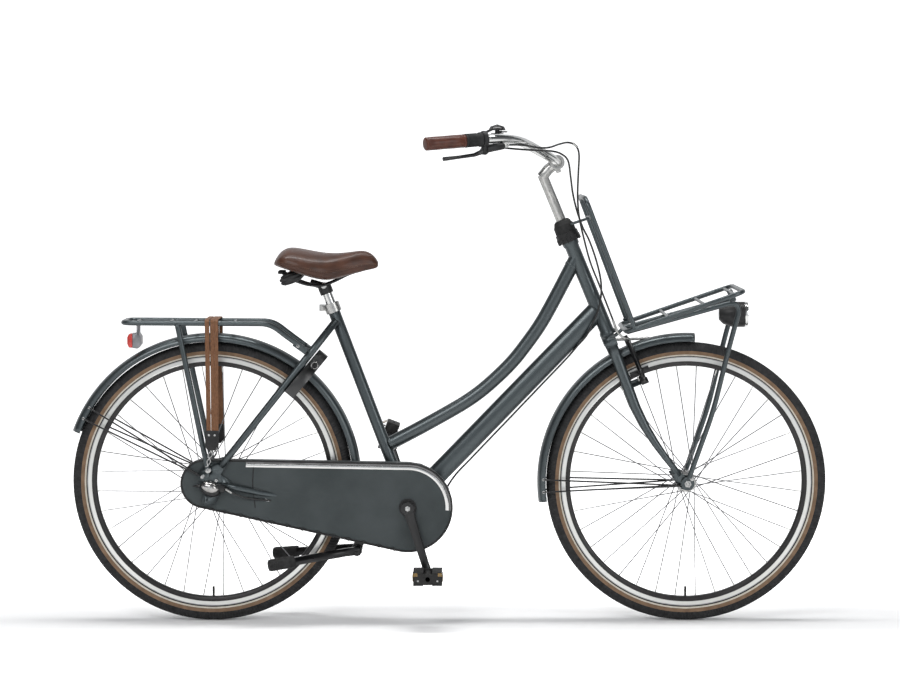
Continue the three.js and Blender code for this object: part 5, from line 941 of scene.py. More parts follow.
# %% Bolt that holds the rear stays, and hanger of the front guard
eyes = [
    stick("stay_eye", *((-0.6185, sign * out, 0.372) for out in (0.0655, 0.0765)), 0.0048, 6, edge=0.0008)
    for sign in (-1, 1)
]
given(joined("rear_stay_eyes", eyes), "rear_mudguard", zinc)
hanger = stick("front_guard_hanger", polar(front_axle, 374.5, 104.5, 0), steered(0, 0, -22), 0.004, 12)
given(hanger, "front_mudguard", zinc)
print("stay eyes", len(eyes))


# %% [markdown]
# ## Racks of bent tube
# Both racks are steel tube bent cold and welded. A tube on a bender keeps its round section
# through the bend, so each one is a bar along its bent line. Each joint gets a small collar of
# weld, squashed where the tubes meet, because real tubes never pass through each other cleanly.

# %% Weld collars
def weld(place, way, radius, height=0.004):
    way = Vector(way).normalized()
    return stick("weld", Vector(place) - way * height / 2, Vector(place) + way * height / 2, radius, 16,
                 edge=height * 0.45)


def on_side(points, sign):
    """Places in millimetres, on the left side or mirrored to the right."""
    return [Vector((x, sign * y, z)) / 1000 for x, y, z in points]


# %% Rear rack
(bend_x, bend_up), (tail_x, tail_up) = (-447, 755), (-816, 757.5)
rail = [(-366, 56, 694), (-405, 62, 722), (bend_x, 62, bend_up), (tail_x, 62, tail_up), (tail_x, 0, tail_up)]
strut = [(-680, 62, 757.5), (-604, 74.9, 389)]
left, right = (rounded(on_side(rail, sign), 0.028) for sign in (1, -1))
pieces = [bar_along("rear_rack_hoop", [*left, *reversed(right[:-1])], 0.0065, 16)]
pieces += [bar_along("rear_rack_strut", on_side(strut, sign), 0.007, 16) for sign in (-1, 1)]
for x in (-783, -700, -640, -540):  # millimetres
    height = bend_up + (tail_up - bend_up) * (bend_x - x) / (bend_x - tail_x)
    ends = [(x / 1000, side, height / 1000) for side in (-0.060, 0.060)]
    pieces.append(stick("rear_rack_bar", *ends, 0.004, 12))
    pieces += [weld((x / 1000, sign * 0.055, height / 1000), to_left, 0.0052) for sign in (-1, 1)]
for sign in (-1, 1):
    pieces.append(weld((-0.6787, sign * 0.0622, 0.7505), (0.076, 0.013 * -sign, 0.368), 0.0086, 0.006))
print("rear rack tubes", len(pieces))

# %% Rear rack feet
for sign in (-1, 1):
    place = (-0.604, sign * 0.0745, 0.384)
    pieces.append(brick("rear_rack_foot", place, (0.006, 0.0042, 0.026), up=(-0.2, 0, 1)))
for sign in (-1, 1):
    tab = brick("rear_rack_tab", (-0.3720, sign * 0.0585, 0.6957), (0.038, 0.0048, 0.0165),
                along=(0.81, 0, -0.586), up=(0.586, 0, 0.81), edge=0.002)
    link = stick("rear_rack_link", (-0.3640, sign * 0.0575, 0.6905), (-0.3440, sign * 0.0300, 0.6835),
                 0.0062, 16, edge=0.001)
    pieces += [tab, link]
given(joined("rear_rack_tubes", pieces), "rear_rack", slate, slot="frame_paint")
tab_bolt = [(0, 0), (5.2, 0), (5.2, 1.2), (4.0, 3.4), (2.4, 3.8), (2.2, 2.2), (0, 2.2)]
tab_bolts = [
    spun("rack_tab_bolt", tab_bolt, (-0.3785, sign * 0.0607, 0.6995), (0, sign, 0), to_front, steps=20,
         closed=False, angle=40)
    for sign in (-1, 1)
]
given(joined("rack_tab_bolts", tab_bolts), "rear_rack", zinc, slot="steel")
print("rack tab bolts", len(tab_bolts))


# %% Front rack deck and back frame
def crossbar(name, ahead, half, up):
    """A bar across the steering, its half length and its place in millimetres."""
    return stick(name, steered(ahead, -half, up), steered(ahead, half, up), 0.004, 12)


deck_rear, deck_front, rear_up, front_up = 41, 345, -7, -26  # millimetres, as steered() takes them
deck = [
    (deck_rear, 0, rear_up), (deck_rear, -150, rear_up), (deck_front, -150, front_up),
    (deck_front, 150, front_up), (deck_rear, 150, rear_up), (deck_rear, 0, rear_up),
]
pieces = [bar_along("front_deck", rounded([steered(*p) for p in deck], 0.030), 0.006, 16)]
for share in (0.36, 0.67, 0.925):
    ahead, up = deck_rear + (deck_front - deck_rear) * share, rear_up + (front_up - rear_up) * share
    pieces.append(crossbar("front_slat", ahead, 149, up))
    pieces += [weld(steered(ahead, side, up), to_left, 0.0052) for side in (-143, 143)]
back = [(62, -150, -6), (72, -150, 337), (72, 150, 337), (62, 150, -6)]
pieces.append(bar_along("front_back_frame", rounded([steered(*p) for p in back], 0.035), 0.006, 16))
brace_up = 282  # millimetres
brace_ahead = 62 + 10 * (brace_up - 2) / 335
pieces.append(crossbar("front_brace", brace_ahead, 149, brace_up))
print("front rack tubes", len(pieces))

# %% Front rack lower tubes, struts and ties
knees = [(43, 75, -13), (338.5, 75, -49.6), (265.8, 75, -143.4), (166.5, 68, -281), (48.3, 61, -413)]
for sign in (-1, 1):
    def tie(name, *ends):
        return bar_along(name, [steered(u, sign * 18, w) for u, w in ends], 0.003, 10)

    line = rounded([steered(u, sign * y, w) for u, y, w in knees], 0.043)
    pieces += [
        bar_along("front_strut", line, 0.0065, 16),
        tie("front_tie", (brace_ahead, brace_up), (18, 286)),
        tie("front_foot_tie", (41, -7), (13.5, -17)),
        weld(steered(60, sign * 148.8, 1), head_up, 0.0076, 0.006),
    ]

# %% Pads round the axle, ring on the headset and lamp ears
pad_outline = [(5.2, 0), (16.2, 0), (17, 0.7), (17, 2.6), (16.2, 3.3), (5.2, 3.3)]
for sign in (-1, 1):
    pad_place = front_axle + Vector((0, sign * 0.0578, 0))
    pieces += [
        spun("front_pad", pad_outline, pad_place, (0, sign, 0), to_front, steps=40, angle=30),
        brick("lamp_ear", steered(323.5, sign * 9, -36), (0.014, 0.0024, 0.030), head_ahead, head_up, 0.0011),
    ]
ring_outline = [(20.4, -5), (24.2, -5), (25, -4.2), (25, 4.2), (24.2, 5), (20.4, 5)]
ring = spun("headset_ring", ring_outline, steered(0, 0, 283.6), head_up, head_ahead, steps=48, angle=30)
pieces.append(ring)
given(joined("front_rack_tubes", pieces), "front_rack", slate, slot="frame_paint")
print("front rack pieces", len(pieces))


# %% [markdown]
# ## Saddle
# A wide city saddle: brown leathercloth over foam, two cushions at the back that run into one
# nose, and a skirt sewn on along a seam low on its side. The frame model has its form in coarse
# rings, so that is copied, its corners are merged and a subdivision surface rounds it. The seam
# is a sewn welt, laid as a thin cord on the surface with its stitches beside it.

# %% Leather
def leather(name, dark, light, scale):
    return made(name, (dark, light), (scale * 0.04, 5), (0.36, 0.5), (scale * 0.08,),
                [(0.00025, 0.5, scale, *pores), (0.0012, 0.25, scale * 0.02, 4)],
                roughness=0.42, specular=0.28, coat=0.12, coat_roughness=0.16)


saddle_leather = leather("saddle_leather", (0.036, 0.0125, 0.0062), (0.070, 0.026, 0.0135), 900)
grip_leather = leather("grip_leather", (0.050, 0.0125, 0.0065), (0.094, 0.026, 0.0135), 1100)
thread = made("brown_thread", ((0.10, 0.05, 0.03), (0.17, 0.09, 0.055)), (900,), roughness=0.7)

# %% Cover
cover = named(smoothed("saddle", saddle_leather, 60), "saddle_cover")
opened(cover)
merged(0.0008)
closed_up()
worked(cover, "SUBSURF", levels=2, render_levels=2)
bpy.ops.object.shade_smooth()
print("saddle faces", len(cover.data.polygons))


# %% Welt along the lower edge
def nearest_on(piece, place, way):
    """Where a ray towards the piece meets its surface."""
    hit, where, _, _ = piece.ray_cast(Vector(place), Vector(way))
    return where if hit else None


# places along the saddle in millimetres, with the heights of its top and its lower edge
stations = [
    (-439, 908, 901), (-428, 931, 896), (-406, 947, 889), (-370, 942, 876), (-332, 934, 864),
    (-300, 930, 860), (-266, 931, 869), (-238, 935, 878), (-212, 938, 884), (-190, 926, 889),
    (-179, 908, 893),
]
welt_steps, welt_rise, beside = 80, 0.3, 0.2
welt_runs = []
for sign in (-1, 1):
    run = []
    for step in range(welt_steps + 1):
        t = step / welt_steps * (len(stations) - 1)
        i = min(int(t), len(stations) - 2)
        x, top, under = (a + (b - a) * (t - i) for a, b in zip(stations[i], stations[i + 1]))
        height = (under + (top - under) * welt_rise) / 1000
        where = nearest_on(cover, (x / 1000, sign * beside, height), (0, -sign, 0))
        if where:
            run.append(where + Vector((0, sign * 0.0002, 0)))
    welt_runs.append(run)
welt = [bar_along("saddle_welt_side", run, 0.0011, 8) for run in welt_runs]
given(joined("saddle_welt", welt), "saddle", saddle_leather, slot="brown_leather")

# %% Stitches beside the welt
stitches = []
for sign, run in zip((-1, 1), welt_runs):
    for a, b in zip(run[1:], run[2:]):
        middle = a.lerp(b, 0.5) + Vector((0, 0, 0.0034))
        where = nearest_on(cover, (middle.x, sign * beside, middle.z), (0, -sign, 0))
        if where:
            along = (b - a).normalized()
            stitches.append(pin("stitch", where, along, 0.0013, 0.0013, 0.00045, 6, edge=0.0002))
given(joined("saddle_stitches", stitches), "saddle", thread, slot="brown_leather")
print("stitches", len(stitches))

# %% Springs and frame
seat_ahead = Vector((0.934826, 0, 0.355107))
rail_points = [(-212, 9, 889), (-250, 20, 878), (-286, 24, 861), (-316, 26, 850), (-352, 34, 851),
               (-388, 44, 862)]
bulb = [(0, -19), (11, -17.6), (15.5, -13), (17, -8), (15.6, -5.6), (15.6, -4), (17, -2), (16.8, 3),
        (14.2, 5.2), (14.2, 6.6), (13.8, 9), (10, 12.6), (0, 15)]
rails, fittings = [], []
for sign in (-1, 1):
    rails.append(bar_along("saddle_rail", softened(on_side(rail_points, sign)), 0.0035, 12))
    place = Vector((-0.397, sign * 0.046, 0.871))
    block = spun("saddle_bulb", bulb, place, seat_up, seat_ahead, steps=36, closed=False, angle=40)
    fittings.append(stretched(block, place, seat_ahead, 1.72, seat_up, 0.9))
rod_line = rounded(mm((-395, -46, 866), (-420, -22, 882), (-420, 22, 882), (-395, 46, 866)), 0.012)
fittings.append(bar_along("saddle_back_rod", rod_line, 0.004, 12))
loop_line = rounded(mm((-212, -9, 889), (-206, 0, 891), (-212, 9, 889)), 0.006)
rails.append(bar_along("saddle_nose_loop", loop_line, 0.0035, 12))
fittings.append(brick("saddle_back_plate", (-0.421, 0, 0.882), (0.018, 0.056, 0.009), edge=0.003))
print("saddle rails", len(rails), "fittings", len(fittings))

# %% Clamp on the post
post_end = Vector((-0.3154, 0, 0.8481))
clamp = [(13.4, -22), (15.9, -22), (16.6, -22), (17, -21.4), (17, 3.6), (15.6, 5), (0, 5)]
fittings += [
    spun("saddle_clamp", clamp, post_end, seat_up, seat_ahead, steps=40, closed=False, angle=35),
    stick("saddle_rocker", (-0.350, 0, 0.856), (-0.3154, 0, 0.8461), 0.009, 20, edge=0.002),
]
bolts = [
    pin("saddle_clamp_bolt", post_end, to_left, 0.027, 0.027, 0.007, 24, edge=0.001),
    pin("saddle_clamp_nut", post_end, to_left, 0.0272, -0.021, 0.0068, 6, edge=0.0008),
]
given(joined("saddle_rails", rails), "saddle_frame", black_paint, slot="black_paint")
given(joined("saddle_fittings", fittings), "saddle_frame", black_plastic, slot="black_plastic")
given(joined("saddle_bolts", bolts), "saddle_frame", zinc, slot="steel")
print("saddle bolts", len(bolts))

# %% [markdown]
# ## Grips, shifter, brake perch and bell
# The grips are brown leather sleeves, sewn along one side and closed by a collar at each end. The
# shifter is a ribbed rubber sleeve that twists on the bar, with a housing beside it where the
# gear cable goes in. Both are turned outlines whose axis is the bar's own direction.

# %% Grips
right_way = Vector((-0.918294, -0.388363, -0.076886))
left_way = Vector((-0.918294, 0.388363, -0.076886))
grip_length, stitch_count = 0.104, 26
grip_outline = [
    (11.3, 0), (15.4, 0), (16.3, 0.9), (16.3, 4.6), (15.2, 5.6), (15.2, 6.6), (16.1, 7.6), (16.4, 30),
    (16.0, 55), (16.4, 80), (16.1, 96), (15.2, 97), (15.2, 98), (16.2, 99), (16.3, 101),
    (15.6, 102.8), (14.0, 104.0), (12.6, 104.35), (0, 104.35),
]


def square_to(way, direction):
    """The direction with its part along the way taken out."""
    return (direction - way * way.dot(direction)).normalized()


for sign, part, way in ((-1, "grip_right", right_way), (1, "grip_left", left_way)):
    start = steered(-240, sign * 302, 610) - way * grip_length
    grip = spun(f"{part}_leather", grip_outline, start, way, way.cross(to_left), steps=48, closed=False,
                angle=45)
    given(grip, part, grip_leather, slot="brown_leather")
    seam = square_to(way, square_to(way, -to_top) * 0.35 - to_left * 0.9) * 0.01635
    stitches = [
        pin("grip_stitch", start + way * (0.011 + 0.0032 * k) + seam, way, 0.0009, 0.0009, 0.00045, 6)
        for k in range(stitch_count)
    ]
    given(joined(f"{part}_stitches", stitches), part, thread, slot="brown_leather")
print("grip stitches", 2 * stitch_count)

# %% Shifter sleeve
running_gap, sleeve_length = 0.0003, 0.044
sleeve_start = steered(-240, -302, 610) - right_way * (grip_length + running_gap + sleeve_length)
sleeve_outline = [(11.5, 0), (17.2, 0), (18, 1), (17.8, 6.6), (16.9, 8)]
for k in range(7):
    rib = 14 + k * 3.7
    sleeve_outline += [(15.2, rib - 1.4), (16.6, rib - 0.8), (16.8, rib), (16.6, rib + 0.8)]
sleeve_outline += [(15.2, 38), (17, 39.4), (17, 43.4), (16.4, 44), (11.5, 44)]
sleeve = spun("shifter_rubber", sleeve_outline, sleeve_start, right_way, right_way.cross(to_left),
              steps=48, angle=30)
given(sleeve, "shifter_sleeve", black_rubber, slot="black_plastic")
mark_place = sleeve_start + Vector((0.006, -0.0012, 0.0168))
given(pin("shifter_mark", mark_place, right_way, -0.004, 0.0075, 0.0007, 8), "shifter_sleeve", cream_band)
print("sleeve points", len(sleeve_outline))

# %% Drum and thumb paddle of the shifter, barrel of the brake perch
adjuster_place = Vector((0.1399, -0.214, 1.19912))
adjuster_way = Vector((0.8866, 0.4402, 0.1423)).normalized()
barrel_end = adjuster_place - adjuster_way * 0.0085
housing = [
    pin("shifter_drum", sleeve_start, right_way, 0.0006, -0.0135, 0.0204, 40, edge=0.0032),
    pin("shifter_drum_ring", sleeve_start, right_way, 0.0055, -0.0080, 0.0209, 40, edge=0.0008),
    brick("shifter_paddle", sleeve_start - right_way * 0.0150 + Vector((0.004, 0, 0.0195)),
          (0.024, 0.013, 0.0062), along=(0.86, 0.25, 0.42), up=(-0.40, 0, 0.92), edge=0.0028),
    pin("perch_barrel", barrel_end, adjuster_way, 0.050, 0, 0.0104, 32, taper=0.0082, edge=0.0022),
]
given(joined("shifter_housing", housing), "brake_perch", black_plastic, slot="black_plastic")
print("drum at", short(sleeve_start))

# %% Perch without the cable's stub
perch = smoothed("brake_perch", black_plastic, 40)
perch_middle = Vector((0.08257, -0.24234, 1.21392))
stub_reach, perch_radius, perch_face = 0.0042, 0.0176, -0.0074
near_cable = gear_line[2:60]


def on_stub(vert):
    """Whether a corner belongs to the stub of cable and not to the perch's own ring."""
    out = vert.co - perch_middle
    along = out.dot(right_way)
    outside = (out - right_way * along).length > perch_radius or along < perch_face
    return outside and min((vert.co - p).length for p in near_cable) < stub_reach


opened(perch, "DESELECT")
picked(perch, "verts", on_stub)
bpy.ops.mesh.delete(type="VERT")
bpy.ops.mesh.select_all(action="SELECT")
bpy.ops.mesh.fill_holes(sides=0)
closed_up()
print("perch spans", short(perch.dimensions))

# %% Silver adjuster on the brake cable, and the cables' ferrules
barrel = [(2.7, -9), (5.2, -9), (6.1, -8), (6.1, -6.6), (5.5, -6.2), (6.1, -5.6), (6.1, -3.6), (5.5, -3.2),
          (6.1, -2.6), (6.1, -0.8), (5.4, 0.6), (3.6, 1.2), (3.4, 5.4), (2.7, 5.6)]
adjuster = spun("brake_adjuster", barrel, adjuster_place, adjuster_way, adjuster_way.cross(to_top),
                steps=24, angle=30)
given(adjuster, "brake_perch", silver, slot="silver_metal")
for line, share, part in ((brake_line, 0.405, "brake_cable"), (gear_line, 0.985, "shift_box")):
    i = int(share * (len(line) - 1))
    way = (line[i + 1] - line[i - 1]).normalized()
    ferrule = pin("cable_ferrule", line[i], way, 0.009, 0.009, 0.0031, 16, edge=0.0006)
    given(ferrule, part, silver, slot="silver_metal")
    print("ferrule at", [round(v, 4) for v in line[i]])

# %% Lever, bar and stem
smoothed("brake_lever", black_paint, 50, 0.0012)
smoothed("handlebar", chrome, 60)
smoothed("stem", silver, 40, 0.0008)
lug_way = (head_ahead, head_up)
lug = brick("stem_lug", steered(41, 0, 428), (0.0125, 0.026, 0.023), *lug_way, edge=0.0025)
given(lug, "stem", silver, slot="silver_metal")
slit = brick("stem_lug_slit", steered(41, 0, 424.5), (0.0129, 0.0016, 0.0165), *lug_way, edge=0)
stem_bolt = stick("stem_bolt", steered(41, -15.2, 422.5), steered(41, 15.2, 422.5), 0.0042, 6, edge=0.0008)
given(joined("stem_bolt_and_slit", [stem_bolt, slit]), "stem", zinc, slot="steel")
print("stem lug spans", short(lug.dimensions))

# %% [markdown]
# ## Chain case
# The chain case is a plastic box under a stretched cover of dark leathercloth. It is the frame
# model's form with a wrinkled finish, and gets the details that make it read as a sewn cover:
# black piping round its edge, laces and studs along the bottom, a flap seam near the rear, the
# bright double strip along the top, and the cap at the crank.

# %% Cover
leathercloth = made("case_leathercloth", ((0.026, 0.034, 0.035), (0.045, 0.054, 0.056)), (10, 4),
                    (0.42, 0.58), (16,), [(0.00015, 0.4, 900, *pores), (0.006, 0.35, 7, 3, (0.8, 1, 2.2))],
                    roughness=0.5, specular=0.32, sheen=0.08)
case = smoothed("chain_case", leathercloth, 35)
case_rear = Vector((-0.6125, 0, 0.353))
case_side, front_radius, rear_radius = -0.0595, 0.113, 0.062
# the straight edges touch both circles at these two angles
way = case_rear - bracket
lean = math.degrees(math.atan2(way.z, way.x))
spread = math.degrees(math.acos((front_radius - rear_radius) / way.length))
top_turn, low_turn = lean - spread, lean + spread
print("edge angles", round(top_turn, 1), round(low_turn, 1))


# %% Piping round the cover
def arc(centre, radius, start, stop, y, steps=48):
    """Points on an arc across the bike, with its angles in degrees from +X."""
    turns = [math.radians(start + (stop - start) * i / steps) for i in range(steps + 1)]
    return [Vector((centre.x + radius * math.cos(t), y, centre.z + radius * math.sin(t))) for t in turns]


piping_inset, seam_y = 0.0024, case_side - 0.0002
whole = [
    *arc(bracket, front_radius - piping_inset, low_turn - 360, top_turn, seam_y),
    *arc(case_rear, rear_radius - piping_inset, top_turn, low_turn, seam_y),
]
piping = bar_along("case_piping", whole, 0.0026, 10, closed=True)
given(piping, "chain_case", black_plastic, slot="case_cover")
print("piping length", round(length_of(whole), 3))

# %% Laces and studs along the bottom
down = Vector((math.cos(math.radians(low_turn)), 0, math.sin(math.radians(low_turn))))
seam_start, seam_stop = bracket + down * 0.101, case_rear + down * 0.050
stud_count = 13
stud_outline = [(0, 0), (3.4, 0), (3.4, 0.6), (2.2, 1.6), (0, 1.9)]
places = [
    seam_start + (seam_stop - seam_start) * (0.02 + 0.93 * i / (stud_count - 1)) + Vector((0, case_side, 0))
    for i in range(stud_count)
]
studs = [
    spun("case_stud", stud_outline, place + down * 0.0118 + Vector((0, 0.0035, 0)), down, to_left, steps=16,
         closed=False, angle=50)
    for place in places
]
laces = []
for here, there in zip(places, places[1:]):
    middle = here.lerp(there, 0.5) + down * 0.0105 + Vector((0, -0.0002, 0))
    ends = [place + down * 0.004 + Vector((0, -0.0004, 0)) for place in (here, there)]
    laces.append(bar_along("lace", [ends[0], middle, ends[1]], 0.0008, 6))
given(joined("case_studs", studs), "chain_case", black_paint, slot="case_cover")
given(joined("case_laces", laces), "chain_case", black_plastic, slot="case_cover")
print("studs", len(studs), "laces", len(laces))

# %% Flap seam near the rear
flap_line = softened([(-0.489, seam_y, 0.4105), (-0.493, seam_y, 0.352), (-0.487, seam_y, 0.2925)])
flap = bar_along("case_flap_seam", flap_line, 0.0012, 8)
given(flap, "chain_case", black_plastic, slot="case_cover")
print("flap seam length", round(length_of(flap_line), 3))

# %% Bright double strip
# The strip nearer the edge is a bright strip given a dark steel colour: painted shade.
strip_painted_shade = made("strip_shaded", (grey(0.10), grey(0.18)), (20,), (0.18, 0.28), (60,),
                  metallic=1.0, roughness=0.22)
strip_y, strip_thick, strip_share, strip_front = case_side - 0.0008, 0.0007, 0.8, -4
turn = math.radians(top_turn)
strips = ((0.0056, 0.0034, strip_painted_shade, "steel"), (0.0140, 0.0044, chrome, "chrome"))
for inset, wide, material, slot in strips:
    line = arc(bracket, front_radius - inset, strip_front, top_turn, strip_y)
    far = case_rear + Vector((math.cos(turn), 0, math.sin(turn))) * (rear_radius - inset)
    end = line[-1].lerp(Vector((far.x, strip_y, far.z)), strip_share)
    strip = bar_along("case_strip", [*line, end], wide, 14)
    stretched(strip, (0, strip_y, 0), to_left, strip_thick / wide, to_front, 1)
    given(strip, "chain_case_trim", material, slot=slot)
    print("strip spans", short(strip.dimensions))

# %% [markdown]
# ## Luggage straps and tail light
# Three flat elastic cords run from a hook at the wheel's axle up over the rack and down the other
# side, held by a black plastic buckle on each side. Each is a flat ribbon: one edge drawn along
# its line and given a wall, with a woven finish. The tail light is a grey housing with a red lens.

# %% Strap finish
strap_web = made("strap_web", ((0.105, 0.045, 0.020), (0.215, 0.100, 0.048)), (260, 4, (3, 3, 0.5)),
                 (0.55, 0.75), (200,), [(0.0003, 0.6, 700, 2, (3, 3, 0.3))], roughness=0.66, specular=0.3)


# %% Ribbons
def ribbon(name, line, across, wide, thick):
    """A flat band along a line, its width along the direction across."""
    across = Vector(across).normalized()
    band = one_corner(line[0] - across * wide / 2)
    extruded(across * wide)
    bpy.ops.mesh.select_all(action="SELECT")
    drawn_along(line)
    closed_up()
    worked(band, "SOLIDIFY", thickness=thick, offset=0)
    edged(band, thick * 0.35)
    smooth_up_to(50)
    return named(band, name)


band_half = [(0, 0.7657), (0.045, 0.7657), (0.062, 0.7655), (0.0693, 0.7622), (0.0712, 0.755),
             (0.0735, 0.73), (0.0885, 0.486)]
band_places = ((-0.6045, -0.6000, 0.0112), (-0.5915, -0.5892, 0.0094), (-0.5815, -0.5802, 0.0094))
bands = []
for top_x, foot_x, wide in band_places:
    left = [Vector((top_x + (foot_x - top_x) * (0.766 - z) / 0.28, y, z)) for y, z in band_half]
    right = [Vector((p.x, -p.y, p.z)) for p in reversed(left[1:])]
    bands.append(ribbon("strap_band", softened([*right, *left], 4), to_front, wide, 0.0021))
given(joined("strap_bands", bands), "luggage_straps", strap_web, slot="brown_strap")
print("strap bands", len(bands))


# %% Buckles
def buckle_at(side):
    """A shield of plastic: wide where the straps enter, narrow at the hook."""
    piece = brick("strap_buckle", (-0.592, side * 0.089, 0.472), (0.034, 0.0048, 0.036), edge=0)
    opened(piece, "DESELECT")
    picked(piece, "faces", lambda face: face.normal.z < -0.9)
    for drop, share in ((0.006, 0.86), (0.008, 0.62)):
        extruded((-0.0008, 0, -drop))
        bpy.ops.transform.resize(value=(share, 1, 1), center_override=(-0.5935, side * 0.089, 0.45))
    bpy.ops.object.mode_set(mode="OBJECT")
    edged(piece, 0.0016, 3)
    smooth_up_to(35)
    return piece


# %% Rivets and hooks
rivet_outline = [(0, 0), (2.6, 0), (2.6, 0.5), (1.6, 1.0), (0, 1.2)]
buckles, rivets, hooks = [], [], []
for sign in (-1, 1):
    boss_ends = [(-0.5925, sign * y, 0.4585) for y in (0.0905, 0.0913)]
    buckles += [buckle_at(sign), stick("buckle_boss", *boss_ends, 0.0105, 24, edge=0.0004)]
    for x in (-0.5995, -0.5850):
        rivets.append(spun("strap_rivet", rivet_outline, (x, sign * 0.0912, 0.4785), (0, sign, 0), to_front,
                           steps=20, closed=False, angle=50))
    for lean in (-1, 1):
        hook_points = [(-0.5935 + lean * 0.006, 0.0892, 0.446), (-0.5965 - lean * 0.005, 0.0895, 0.430),
                       (-0.600 + lean * 0.004, 0.0895, 0.414), (-0.603, 0.0893, 0.402),
                       (-0.6085, 0.0878, 0.3995)]
        line = softened([(x, sign * y, z) for x, y, z in hook_points])
        hooks.append(bar_along("strap_hook", line, 0.0015, 10))
for name, things, material, slot in (("strap_buckles", buckles, black_plastic, "black_plastic"),
                                     ("strap_rivets", rivets, zinc, "steel"),
                                     ("strap_hooks", hooks, zinc, "steel")):
    given(joined(name, things), "luggage_straps", material, slot=slot)
print("rivets", len(rivets), "hooks", len(hooks))


# %% Tail light
def reflector(name, dark, light, scale, height, **sockets):
    """Clear coloured plastic over small prisms."""
    material = finish(name, **sockets)
    shades(material, grain(material, scale, *pores), dark, light, 0.1, 0.5)
    relief(material, grain(material, 420, *pores), height, 0.5)
    return material


red_lens = reflector("red_lens", (0.32, 0.012, 0.010), (0.55, 0.03, 0.02), 500, 0.0006,
                     roughness=0.12, coat=0.5)
grey_shell = made("grey_shell", ((0.16, 0.16, 0.17), (0.26, 0.26, 0.27)), (60,), (0.28, 0.42), (120,),
                  roughness=0.35, metallic=0.5)
smoothed("tail_light_housing", grey_shell, 30, 0.0012)
smoothed("tail_light_lens", red_lens, 30, 0.0012)
print("finishes so far", len(bpy.data.materials))

# %% [markdown]
# ## Head lamp
# The lamp is a black plastic shell with a bright bezel, a clear bulged lens and a reflector
# behind it. Lens and reflector are separate turned pieces, because clear plastic only looks deep
# when something bright lies behind it.

# %% Lamp shell, bezel and lens
lamp_middle = Vector((0.7139, 0, 0.7752))
smoothed("lamp_body", black_plastic, 40, 0.0008)
clear = finish("clear_lens", roughness=0.05, specular=0.6)
clear_inputs = clear.node_tree.nodes["Principled BSDF"].inputs
clear_inputs["Transmission Weight"].default_value = 0.9
clear_inputs["IOR"].default_value = 1.4
shades(clear, grain(clear, 40), (0.86, 0.88, 0.90), (0.95, 0.96, 0.97))
relief(clear, grain(clear, 160, *pores), 0.0005, 0.4)
dish_bright = made("reflector_dish", ((0.72, 0.73, 0.75), (0.9, 0.91, 0.93)), (300, 2, (1, 4, 1)),
                   metallic=1.0, roughness=0.12)
bezel_outline = [(28.8, 32.0), (30.6, 36.9), (31.6, 36.2), (32.2, 34), (32.2, 29.4), (31.4, 28.4),
                 (28.8, 28.4)]
lens_outline = [(28.7, 28.0), (28.7, 32.0), (26, 34.2), (20, 36.0), (11, 37.0), (0, 37.3), (0, 35.3),
                (11, 35.0), (20, 34.0), (26, 31.9), (27.2, 28.0)]
dish_outline = [(27.0, 30.0), (22, 28.9), (14, 28.4), (6, 28.2), (0, 28.1)]
for name, outline, steps, closed, angle, part, material, slot in (
    ("lamp_bezel", bezel_outline, 64, True, 35, "lamp_body", chrome, "chrome"),
    ("lamp_lens_clear", lens_outline, 64, True, 50, "lamp_lens", clear, "clear_lens"),
    ("lamp_reflector", dish_outline, 48, False, 60, "lamp_lens", dish_bright, "silver_metal"),
):
    piece = spun(name, outline, lamp_middle, to_front, to_top, steps, closed=closed, angle=angle)
    given(piece, part, material, slot=slot)
    print(name, "spans", short(piece.dimensions))

# %% [markdown]
# ## Gear box, dropout bolts and ring lock
# The gear cable ends in a small box at the right end of the rear axle: a pressed silver shell over
# a black body. It is a spun dome, stretched along its own length. The bolts beside it hold the
# rack's foot, the mudguard's stays and the chain case. The ring lock keeps the frame model's form
# with soft edges, and gets its cylinder's bright ring.

# %% Gear box
box_way, box_across = Vector((0.951, 0, -0.309)), Vector((0.309, 0, 0.951))
box_place = Vector((-0.5985, -0.0676, 0.3455))
below = box_place + Vector((0.001, 0, -0.0065))


def dome(name, outline, place, share):
    piece = spun(name, outline, place, -to_left, to_front, steps=48, closed=False, angle=40)
    return stretched(piece, place, box_way, share, box_across, 0.86)


shell = dome("shift_box_shell", [(0, 22.2), (4, 22.0), (9, 20.6), (13.4, 17.4), (16.8, 12.4), (18.6, 6.4),
                                 (19, 1.5), (18.2, 0.3), (0, 0.3)], box_place, 1.36)
black_pieces = [
    dome("shift_box_body", [(0, 18.4), (10, 17.6), (15.6, 14.4), (18.8, 9), (19.6, 3), (19.2, 0.2), (0, 0.2)],
         below, 1.32),
    stick("shift_box_tip", (-0.6225, -0.0730, 0.3500), (-0.6430, -0.0715, 0.3480), 0.0052, 20, taper=0.0012,
          edge=0.0004),
    brick("shift_box_guide", (-0.5735, -0.0715, 0.3440), (0.024, 0.012, 0.019), box_way, box_across, 0.003),
]
screw_outline = [(0, 22.2), (3.4, 22.2), (3.4, 21.2), (4.4, 21.2), (4.4, 22.5), (5.4, 22.5), (5.6, 20.5)]
screw = spun("shift_box_screw", screw_outline, box_place, -to_left, to_front, steps=28, closed=False,
             angle=30)
given(shell, "shift_box", shell_steel, slot="silver_metal")
given(joined("shift_box_black", black_pieces), "shift_box", black_paint, slot="black_plastic")
given(screw, "shift_box", zinc, slot="steel")
print("gear box spans", short(shell.dimensions))


# %% Bolts at the dropouts
def bolt_pair(name, x, z, out, size, height):
    """A hexagon head on a round washer, on both sides of the bike."""
    bolts = []
    for sign in (-1, 1):
        place, way = (x, sign * out, z), (0, sign, 0)
        bolts.append(pin(name + "_washer", place, way, 0.003, 0.0010, size * 1.28, 24, edge=0.0003))
        bolts.append(pin(name, place, way, 0, height, size, 6, edge=0.0007))
    return bolts


